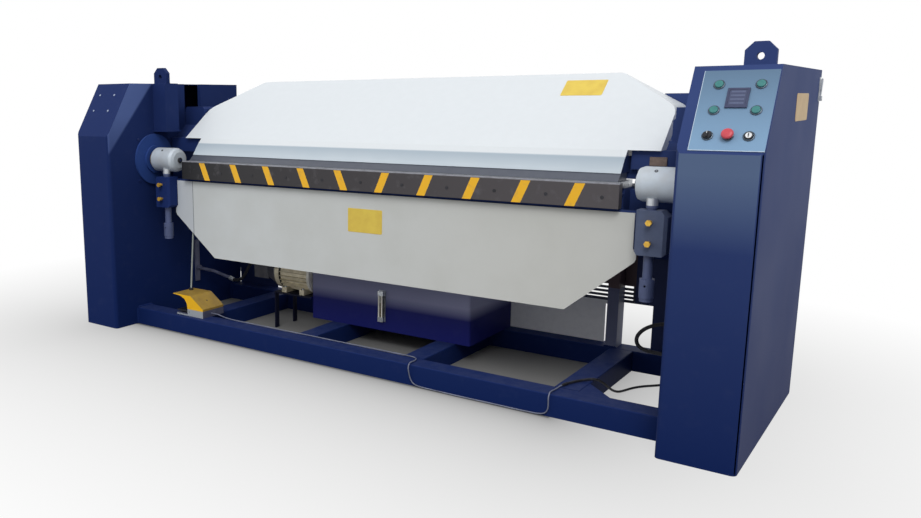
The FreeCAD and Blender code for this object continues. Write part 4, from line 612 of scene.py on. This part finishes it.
def screw_finish():
    """Zinc-plated screws on the slope; those lower down are painted over with the side plate."""
    material, tree, shader = finish("screw_zinc_and_enamel", 0.42, 0.3)
    bare = add(tree, "Math", place(tree)[2], slope_foot + 0.02, operation="GREATER_THAN")
    zinc = blend(tree, patches(tree, 0.012), "#a9b5cc", "#8f9bb3")
    coat(shader, blend(tree, bare, "#1c2c5e", zinc))
    tree.links.new(all_of(tree, bare, 0.5), shader.inputs["Metallic"])
    return material


dress(machined("turned_bright_steel", "#cdd1d5", "#a4a9ae", 0.34, 0.003),
      "clamp_rams", "door_hardware", "right_latch_lever", "left_latch_lever", "lower_blade")
dress(machined("painted_pipe_steel", "#70748f", "#555970", 0.4, 0.004, 0.3), "plate_fittings")
dress(machined("oiled_gear_steel", "#8d8c8a", "#5c5a56", 0.3, 0.002),
      "drive_pinions", "right_drive_rack", "left_drive_rack")
dress(white_zinc, "level_gauge")
dress(screw_finish(), "cabinet_screws")


# Trunnion bosses: turned steel in silver paint, navy on the bolt at their inner ends, with a black
# set screw that pins each boss to its shaft and a black ring round the bolt.
boss_axis, boss_radius, bolt_start = (-0.209, 0.985), 0.070, 1.3105
end_navy = "#27345c"


def dull_coat(name, tone, worn, roughness):
    """Black oxide, moulded plastic or flat paint: dull, a little worn in patches of 30 mm."""
    material, tree, shader = finish(name, roughness, 0.3)
    coat(shader, blend(tree, patches(tree, 0.03, 0.45, 0.75, 6), tone, worn),
         cloud(tree, 0.002, 2), 0.0001)
    return material


silver = machined("silver_painted_steel", "#c6d0da", "#bdc3c9", 0.45, 0.004, 0.12)
bolt = add(silver.node_tree, "Math", place(silver.node_tree)[0], 0.0, bolt_start,
           operation="COMPARE")
dress(cover(silver, bolt, end_navy), "trunnion_bosses")
black_oxide = dull_coat("black_oxide_steel", "#25252a", "#3a3a41", 0.4)
set_screw = [(-4, 7), (1.2, 7), (2, 6.2), (2, 4), (-1, 3.6)]
set_screw_turn = math.radians(53)
outwards = np.array((0, -math.cos(set_screw_turn), math.sin(set_screw_turn)))
on_boss = (boss_radius - 0.0002) * outwards
skins("boss_set_screws", [turned(set_screw, (x, *boss_axis) + on_boss, outwards)
                          for x in (-1.41, 1.388)], black_oxide, "folding_beam")
end_screw = [(-0.5, 15), (9.5, 15), (11, 13.6), (11, 7.2), (5, 6.8)]
skins("boss_end_screws", [turned(end_screw, (side * 1.311, *boss_axis), (-side, 0, 0))
                          for side in (1, -1)], black_oxide, "folding_beam")


# Spindles: the collar above each block is bright steel, and the stem and cap below it are painted
# slate blue with the machine.
def spindle_finish():
    """Slate enamel over steel, which is bare above the collar's foot."""
    collar_foot = 0.9060
    material, tree, shader = finish("slate_painted_steel", 0.42, 0.3)
    bare = add(tree, "MapRange", place(tree)[2], collar_foot, collar_foot + 0.0005)
    paint = blend(tree, patches(tree, 0.08), "#566084", "#4a5474")
    coat(shader, blend(tree, bare, paint, "#c9cdd2"), orange_peel(tree), 0.00005)
    tree.links.new(all_of(tree, bare, 0.6), shader.inputs["Metallic"])
    return material


dress(spindle_finish(), "spindles")


# Bushes and bolts: cast bronze bushes in the pivot flanges, yellow passivated zinc on the
# adjusting blocks' bolts, and a brown bronze wear pad on the right guide arm's low plate.
dress(zinc_plate("bearing_bronze", "#b08a4c", "#8a6a38", 0.4, 0.9), "pivot_bushes")
dress(zinc_plate("yellow_passivated_zinc", "#f0c552", "#cf9c3a", 0.36, 0.45), "block_bolts")
brown_bronze = zinc_plate("brown_sintered_bronze", "#7d6c63", "#6a5b54", 0.55, 0.3)
pad = upright_plate(1.348, -0.084, 1.066, 0.034, 0.018, 0.006, 0.002, 0.001)
skins("guide_wear_pad", [pad], brown_bronze, "upper_beam")


# Upper beam: white gloss enamel on the folded skin, a grey-blue nose below it and a dark ground
# clamping blade. Handling leaves faint grey smears on the skin.
white_tones = ("#dde2e6", "#d6dce1", 0.36, 0.3, "#c8cdd1", 0.2)


def end_faces(tree):
    """One on faces that look along the machine, else zero."""
    along = add(tree, "Math", facing(tree)[0], operation="ABSOLUTE")
    return add(tree, "Math", along, 0.7, operation="GREATER_THAN")


def nose_paint():
    """Grey-blue enamel, paler towards the lower edge, white under the skin, navy at its ends."""
    nose_foot, nose_top, skin_foot_from, skin_foot_to = 1.030, 1.078, 1.080, 1.086
    material, tree, shader = finish("nose_grey_enamel", 0.36, 0.35)
    z = place(tree)[2]
    lower = blend(tree, add(tree, "MapRange", z, nose_foot, nose_top), "#c0cad2", "#a6b3be")
    smears = all_of(tree, patches(tree, 0.4, 0.35, 0.65, 3), 0.3)
    clouded = blend(tree, smears, lower, "#a1b1be")
    skin = add(tree, "MapRange", z, skin_foot_from, skin_foot_to)
    front = blend(tree, skin, clouded, "#d9dee2")
    coat(shader, blend(tree, end_faces(tree), front, end_navy), orange_peel(tree), 0.00003)
    return material


dress(enamel("white_gloss_enamel", *white_tones), "upper_beam_skin")
frame_white = enamel("white_enamel_navy_ends", *white_tones)
dress(cover(frame_white, end_faces(frame_white.node_tree), end_navy), "upper_beam_frame")
dress(nose_paint(), "upper_beam_nose")
dress(enamel("ground_blade_steel", "#4b505d", "#3f4450", 0.38, 0.5, "#6b7078", 0.3), "clamp_blade")


# Folding beam: a light grey sprayed apron and a black blade with yellow stripes that lean
# outwards on both sides of the middle. Both are scuffed where sheets slide over them.
def apron_paint():
    """Grey enamel in two sheets: the narrow left one is a shade bluer, by a dark joint line."""
    joint_at, joint_half = -1.199, 0.0022
    material, tree, shader = finish("apron_grey_enamel", 0.42, 0.35)
    x = place(tree)[0]
    left_sheet = add(tree, "Math", x, joint_at, operation="LESS_THAN")
    joint = add(tree, "Math", x, joint_at, joint_half, operation="COMPARE")
    sheet = blend(tree, add(tree, "MapRange", x, -1.3, 1.0), "#cdd2d4", "#cacbc7")
    sheets = blend(tree, left_sheet, sheet, "#c2c8cf")
    smears = all_of(tree, patches(tree, 0.25, 0.4, 0.75, 8), 0.3)
    smeared = blend(tree, smears, sheets, "#b7b8b2")
    coat(shader, blend(tree, joint, smeared, "#70747a"), cloud(tree, 0.012, 3), 0.00008)
    tree.links.new(add(tree, "MapRange", smears, 0, 0.3, 0.38, 0.52), shader.inputs["Roughness"])
    return material


def striped_black():
    """Black enamel with yellow stripes 43 mm wide every 237 mm, leaning 23 degrees from upright.

    Along the front, distance from the middle less the lean times the height tells the stripes.
    """
    pitch, lean, blade_middle, first_stripe, chamfer_foot = 0.2368, 0.436, 0.978, 0.143, 0.980
    material, tree, shader = finish("black_and_yellow_enamel", 0.42, 0.35)
    x, _, z = place(tree)
    outward = add(tree, "Math", x, operation="ABSOLUTE")
    leaned = add(tree, "Math", z, -lean, outward, operation="MULTIPLY_ADD")
    shifted = add(tree, "Math", leaned, lean * blade_middle + pitch / 2 - first_stripe,
                  operation="ADD")
    repeat = add(tree, "Math", shifted, pitch, operation="MODULO")
    half_width = add(tree, "MapRange", cloud(tree, 0.006, 3), 0, 1, 0.020, 0.023)
    stripe = add(tree, "Math", repeat, pitch / 2, half_width, operation="COMPARE")
    front = add(tree, "Math", facing(tree)[1], -0.9, operation="LESS_THAN")
    # painted light: the black ground pales towards the blade's right end
    ground = blend(tree, add(tree, "MapRange", x, -1.2, 1.2), "#141418", "#4e4a4d")
    paint = blend(tree, all_of(tree, stripe, front), ground, "#f8bd2c")
    rubbed = all_of(tree, patches(tree, 0.05, 0.55, 0.75, 8), 0.35)
    scuffed = blend(tree, rubbed, paint, "#6a686d")
    # sheets rub the paint off the chamfer along the top edge
    chamfer = add(tree, "Math", z, chamfer_foot, operation="GREATER_THAN")
    worn = all_of(tree, chamfer, add(tree, "MapRange", cloud(tree, 0.03, 6), 0.3, 0.55, 0.45, 1))
    coat(shader, blend(tree, worn, scuffed, "#85878f"), cloud(tree, 0.01, 3), 0.00008)
    return material


dress(apron_paint(), "apron")
dress(striped_black(), "folding_blade")
dress(black_oxide, "blade_screws")


# Control panel: a thin aluminium plate sprayed pale blue on its face, bare on its sides, with a
# painted highlight along the face's lower and left edges and painted shade up the slope. Places on
# it are measured along the machine, up the cabinet's slope and out from it.
slope_up = np.array((0, slope_run, slope_rise)) / math.hypot(slope_run, slope_rise)
slope_out = np.array((0, -slope_up[2], slope_up[1]))


def on_slope(across, up, proud=0.0):
    """A place on the slope: across the machine, up the slope from its foot, and out from it."""
    return np.array((across, cabinet_front, slope_foot)) + up * slope_up + proud * slope_out


def up_slope(tree):
    """How far up the slope a point of the surface lies from its foot, in metres."""
    along = add(tree, "VectorMath", add(tree, "TexCoord", output="Object"), tuple(slope_up),
                operation="DOT_PRODUCT")
    return add(tree, "Math", along, float(np.dot(on_slope(0, 0), slope_up)), operation="SUBTRACT")


def panel_paint():
    """Pale blue, with painted shade up the slope, a painted highlight on the low and left rims,
    bare sides.
    """
    painted_highlight_left, painted_highlight_low = 1.5700, 0.0147
    material, tree, shader = finish("panel_blue_with_painted_light", 0.36, 0.4)
    out = add(tree, "VectorMath", add(tree, "NewGeometry", output="Normal"), tuple(slope_out),
              operation="DOT_PRODUCT")
    side = add(tree, "Math", out, 0.9, operation="LESS_THAN")
    left = add(tree, "Math", place(tree)[0], painted_highlight_left, operation="LESS_THAN")
    rise = up_slope(tree)
    low = add(tree, "Math", rise, painted_highlight_low, operation="LESS_THAN")
    # painted highlight: pale rims 15 mm up from the low edge and left of 1.57 m, with the real bare
    # sides
    edge = add(tree, "Math", side, add(tree, "Math", left, low, operation="MAXIMUM"),
               operation="MAXIMUM")
    # painted shade: the blue darkens from 50 mm to 330 mm up the slope
    paint = blend(tree, add(tree, "MapRange", rise, 0.05, 0.33), "#7a9dbe", "#587591")
    coat(shader, blend(tree, edge, paint, "#b9cbdb"), cloud(tree, 0.006, 2), 0.00004)
    return material


dress(panel_paint(), "control_panel")
black = dull_coat("moulded_black_plastic", "#1e1e22", "#303036", 0.42)
dress(black, "pedal_treadle")
button_places = {"button_1": ("top_left_button", 1.625, 0.270),
                 "button_2": ("top_right_button", 1.757, 0.270),
                 "button_3": ("low_left_button", 1.625, 0.168),
                 "button_4": ("low_right_button", 1.757, 0.168)}
stop_place, selector_place, key_place = (1.687, 0.069), (1.622, 0.069), (1.751, 0.069)
bezel_profile = [(2, 18.8), (5.5, 18.8), (7.2, 17.6), (7.6, 16), (6.6, 14.3), (3.5, 14.2)]
controls = [spot[1:] for spot in button_places.values()] + [stop_place, selector_place, key_place]
skins("control_bezels", [turned(bezel_profile, on_slope(*spot), slope_out) for spot in controls],
      zinc_plate("dark_chromed_bezel", "#55606c", "#3f4853", 0.3, 0.6), "frame")


# Push buttons: moulded teal caps with a rounded rim, on stems through the cover. The emergency
# stop is a red mushroom on a red neck.
def cap_plastic(name, colour, deep, roughness):
    """Moulded plastic cap: even colour with a soft gloss."""
    material, tree, shader = finish(name, roughness, 0.4)
    coat(shader, blend(tree, patches(tree, 0.01, 0.3, detail=2), colour, deep),
         cloud(tree, 0.001, 2), 0.00003)
    return material


# a stem down through the cover, then the foot of the cap
stem = [(-24, 5), (4.2, 5)]
teal = cap_plastic("teal_cap_plastic", "#3f8682", "#37797a", 0.34)
cap_profile = stem + [(4.2, 13.7), (10.4, 13.7), (11.4, 13), (11.9, 11.8), (11.7, 9.5), (11.7, 0.3)]
for body, (node, *spot) in button_places.items():
    cap = skins(body + "_cap", [turned(cap_profile, on_slope(*spot), slope_out)], teal, body)
    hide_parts(node)
stop_profile = stem + [(4.2, 12), (15, 12), (15.2, 17.2), (16.8, 19), (19.2, 19.9), (22, 19.6),
                       (24.8, 17.8), (26.4, 14), (26.9, 9), (27, 0.3)]
stop = skins("stop_mushroom", [turned(stop_profile, on_slope(*stop_place), slope_out, 40)],
             cap_plastic("red_cap_plastic", "#cf4b56", "#c04350", 0.36), "stop_button")
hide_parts("emergency_stop")


# Selector and key switch: a black knob with a grip bar and a white pointer, and a chromed lock
# barrel in a black ring with its key bar.
def slope_bar(across, up, proud, half_wide, half_long, height, radius, bevel=0.0004):
    """A bar that lies up the cabinet's slope and stands proud of it."""
    return plate_blank(on_slope(across, up, proud), (half_wide, 0, 0), half_long * slope_up,
                       height, radius, bevel)


knob_disc = stem + [(4.2, 13.7), (12.8, 13.7), (13.9, 12.8), (14, 0.3)]
knob = [turned(knob_disc, on_slope(*selector_place), slope_out),
        slope_bar(*selector_place, 0.0135, 0.0035, 0.0108, 0.008, 0.0028, 0.001)]
selector = skins("selector_knob", knob, black, "selector")
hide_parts("mode_selector")
pointer_white = cap_plastic("pointer_white_paint", "#e6e8ea", "#d9dcdf", 0.4)
pointer = slope_bar(selector_place[0], selector_place[1] + 0.005, 0.0215, 0.0009, 0.0048,
                    0.0003, 0.0006, 0.0001)
skins("selector_pointer", [pointer], pointer_white, "selector")
key_ring = stem + [(4.2, 13.7), (10.4, 13.7), (11.6, 12.6), (11.8, 10)]
key = skins("key_switch_ring", [turned(key_ring, on_slope(*key_place), slope_out)], black, "key")
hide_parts("key_switch")
key_face = [(10, 10.4), (12.4, 10.4), (13.2, 9.6), (13.4, 0.3)]
skins("key_switch_barrel", [turned(key_face, on_slope(*key_place), slope_out)],
      zinc_plate("polished_chrome", "#f2f4f6", "#e2e5e8", 0.25, 0.4), "key")
skins("key_bar", [slope_bar(*key_place, 0.0130, 0.0014, 0.0052, 0.006, 0.0010)], black, "key")


# Display: a moulded frame round a smoked acrylic window, behind which four unlit rows show as
# slightly paler bands.
def smoked_window():
    """Dark acrylic with a paler band 7 mm high in every 15 mm of the window's height."""
    row_pitch, row_gap, first_row, middle, row_half = 0.015, 0.008, 0.183, 1.692, 0.022
    material, tree, shader = finish("smoked_acrylic", 0.18, 0.5)
    from_first = add(tree, "Math", up_slope(tree), first_row, operation="SUBTRACT")
    rows = add(tree, "Math", from_first, row_pitch, operation="MODULO")
    lit = add(tree, "Math", rows, row_gap, operation="GREATER_THAN")
    inside = add(tree, "Math", place(tree)[0], middle, row_half, operation="COMPARE")
    tone = blend(tree, patches(tree, 0.004, 0.3), "#5a6384", "#505979")
    coat(shader, blend(tree, all_of(tree, lit, inside), "#414968", tone))
    return material


dress(dull_coat("display_frame_plastic", "#3c4260", "#464c68", 0.4), "display_unit")
window = slope_bar(1.692, 0.216, 0.007, 0.0276, 0.0296, 0.0013, 0.001, 0.0003)
skins("display_window", [window], smoked_window(), "frame")


# Power pack: the motor's cast aluminium body with its pressed fan cowl, and the pump and its bell
# housing. A dark line in the seam behind the end shield is painted shade.
shaft_y, shaft_z = 0.135, 0.330


def cast_metal(name, bright, dull, roughness, metal, painted_shade_seam=None):
    """Sand-cast aluminium: dull metal with a grain of about 2 mm, drawn at 3 mm."""
    material, tree, shader = finish(name, roughness, 0.4, metal)
    colour = blend(tree, patches(tree, 0.04, detail=8), bright, dull)
    if painted_shade_seam:
        # painted shade: a dark line 7 mm wide in the seam behind the end shield
        painted_shade_line = add(tree, "Math", place(tree)[0], painted_shade_seam, 0.0035, operation="COMPARE")
        colour = blend(tree, painted_shade_line, colour, "#24221f")
    coat(shader, colour, cloud(tree, 0.003, 3), 0.0004)
    return material


def hex_head(x, y, z, flats=13, height=5.5):
    """An upright bolt head: a circle drawn out to six flats, whose top corners are chamfered."""
    half, sides = flats / 2, 36
    turn = np.linspace(0, 2 * np.pi, sides, endpoint=False)
    edge = 1 / np.cos((turn + np.pi / 6) % (np.pi / 3) - np.pi / 6)
    outline = np.array([edge, edge, np.minimum(edge, 1.02), np.full(sides, 0.6)])
    steps = [(-1, half), (height * 0.8, half), (height, half), (height, half)]
    return turned(steps, (x, y, z), (0, 0, 1), sides, outline)


dress(cast_metal("cast_aluminium", "#e8dfc6", "#c5bca2", 0.5, 0.25, painted_shade_seam=-0.766), "motor_body")
dress(cast_metal("pump_cast_iron", "#5f6067", "#4c4d55", 0.5, 0.2), "pump_unit")
cowl_metal = cast_metal("pressed_cowl_sheet", "#f0eee6", "#dcdad2", 0.42, 0.1)
dress(cowl_metal, "motor_fan_cowl")
cowl_profile = [(lift, radius + step) for radius in (92, 79, 66, 53, 40)
                for lift, step in ((-0.5, 4.5), (3, 3), (3, -3), (-0.5, -4.5))]
cowl_profile += [(-0.5, 30), (4, 27), (4.5, 0.3)]
skins("fan_cowl_rings", [turned(cowl_profile, (-0.541, shaft_y, shaft_z), (1, 0, 0), 48)],
      cowl_metal, "frame")
bolts = [hex_head(x, shaft_y + side * 0.076, 0.250) for x in (-0.733, -0.603) for side in (-1, 1)]
bolts += [hex_head(x, y, 0.556) for y in (0.062, 0.518) for x in np.linspace(-0.512, 0.449, 7)]
bolts += [hex_head(x, y, 0.556) for x in (-0.512, 0.449) for y in (0.214, 0.366)]
skins("power_pack_bolts", bolts, white_zinc, "frame")


# Level gauge: an acrylic tube between two zinc-plated fittings, filled with brown oil to two
# thirds of its height, behind two cream guard bars.
def gauge_tube():
    """Clear acrylic, grey above the oil's surface and brown below it."""
    material, tree, shader = finish("acrylic_with_oil", 0.12, 0.5)
    surface = add(tree, "Math", cloud(tree, 0.01, 1), 0.0008, 0.2560, operation="MULTIPLY_ADD")
    full = add(tree, "Math", place(tree)[2], surface, operation="LESS_THAN")
    coat(shader, blend(tree, full, "#8d8d86", "#4f3f26"))
    return material


gauge_x = -0.052
tube = [(0, 8.5), (2, 8.8), (58, 8.8), (114, 8.8), (116, 8.5)]
skins("gauge_tube", [turned(tube, (gauge_x, 0.030, 0.178), (0, 0, 1), 24)], gauge_tube(), "frame")
guards = [upright_plate(gauge_x + step, 0.0225, 0.236, 0.0035, 0.059, 0.0035, 0.002)
          for step in (-0.0095, 0.0095)]
skins("gauge_guards", guards, cap_plastic("cream_guard_paint", "#f6f4ea", "#e9e6da", 0.4), "frame")


# Back of the machine: a brown-grey board and dark slats screwed to the posts, navy side sheets
# with a folded cap, and a pale primed sheet low on the right, all with pan-head screws.
def guard_paint():
    """Brown-grey board over dark slats, slate posts that turn brown behind it, navy side sheets."""
    side_sheets_from, posts_back, board_foot = 1.1105, 0.5429, 0.401
    board_brown = "#57474a"
    material, tree, shader = finish("guard_enamel", 0.5, 0.2)
    x, y, z = place(tree)
    board = add(tree, "Math", z, board_foot, operation="GREATER_THAN")
    ahead = add(tree, "Math", y, posts_back, operation="LESS_THAN")
    middle = add(tree, "Math", x, 0.0, side_sheets_from, operation="COMPARE")
    slats = blend(tree, board, "#363a4c", board_brown)
    posts = blend(tree, board, "#666c88", board_brown)
    sides = blend(tree, patches(tree, 0.5, 0.35, 0.65), "#222f5c", "#1c2a54")
    coat(shader, blend(tree, middle, sides, blend(tree, ahead, slats, posts)),
         orange_peel(tree), 0.00005)
    return material


dress(guard_paint(), "rear_guard")
primer = dull_coat("flat_grey_primer", "#eeeff1", "#e6e7ea", 0.6)
dress(primer, "rear_panel")
trims = [upright_plate(0.727, 0.5345, 0.309, 0.263, 0.009, 0.002, 0.001),
         upright_plate(0.465, 0.5345, 0.2055, 0.009, 0.1045, 0.002, 0.001)]
skins("rear_panel_trims", trims, primer, "frame")
slat_lips = [upright_plate(0, 0.5422, z, 1.109, 0.0068, 0.0006, 0.002, 0.0003)
             for z in (0.3435, 0.3645, 0.3855)]
skins("rear_slat_lips", slat_lips, dull_coat("slat_enamel", "#363a4c", "#2d3142", 0.5), "frame")
side_caps = [upright_plate(side * 1.322, 0.5425, 0.572, 0.206, 0.019, 0.003, 0.002)
             for side in (1, -1)]
skins("rear_side_caps", side_caps, navy, "frame")
pan_profile = [(-0.5, 5.5), (1.2, 5.5), (2.6, 4.4), (3.2, 2.6), (2.4, 2.2), (1.2, 1.8)]
back_screws = [(x, 0.549, z) for x in (-1.03, -0.69, -0.345, 0, 0.345, 0.69, 1.03)
               for z in (0.42, 0.545)]
back_screws += [(side * x, 0.548, z) for side in (-1, 1) for x in (1.215, 1.505)
                for z in (0.13, 0.30, 0.54)]
back_screws += [(x, 0.539, z) for x in (0.478, 0.717, 0.956) for z in (0.114, 0.296)]
skins("back_pan_screws", [turned(pan_profile, spot, (0, 1, 0), 20) for spot in back_screws],
      white_zinc, "frame")


# Foot pedal: a yellow sheet hood with a rivet on its right slope, a blue-grey floor plate, and a
# pale green-grey carrying rod in a black grommet.
def pedal_enamel(name, front, side, low):
    """Sprayed enamel in one tone on faces that look forward, and a darker, clouded one on top and
    sides.
    """
    material, tree, shader = finish(name, 0.45, 0.2)
    ahead = add(tree, "MapRange", facing(tree)[1], -0.4, -0.8)
    dirt = blend(tree, patches(tree, 0.07, 0.4, detail=7), side, low)
    coat(shader, blend(tree, ahead, dirt, front), orange_peel(tree), 0.00005)
    return material


def pedal_rod_finish():
    """Green-grey enamel above the rubber grommet that holds the rod in the hood."""
    grommet_top = 0.2325
    material, tree, shader = finish("grey_green_rod_enamel", 0.4, 0.35)
    grommet = add(tree, "Math", place(tree)[2], grommet_top, operation="LESS_THAN")
    paint = blend(tree, patches(tree, 0.05), "#9ba3a0", "#868e8c")
    coat(shader, blend(tree, grommet, paint, "#222226"))
    return material


dress(pedal_enamel("pedal_yellow_enamel", "#edb61f", "#a4863a", "#8f743c"), "pedal_hood")
dress(pedal_enamel("pedal_grey_enamel", "#9aa0a6", "#5b5d72", "#494c62"), "pedal_base")
dress(pedal_rod_finish(), "pedal_rod")
rivet = [(-0.5, 5), (0.6, 4.8), (1.4, 3.6), (1.8, 1.8), (1.9, 0.3)]
skins("hood_rivet", [turned(rivet, (-1.059, -0.2695, 0.1861), (68, 0, 98), 20)], black_oxide,
      "frame")
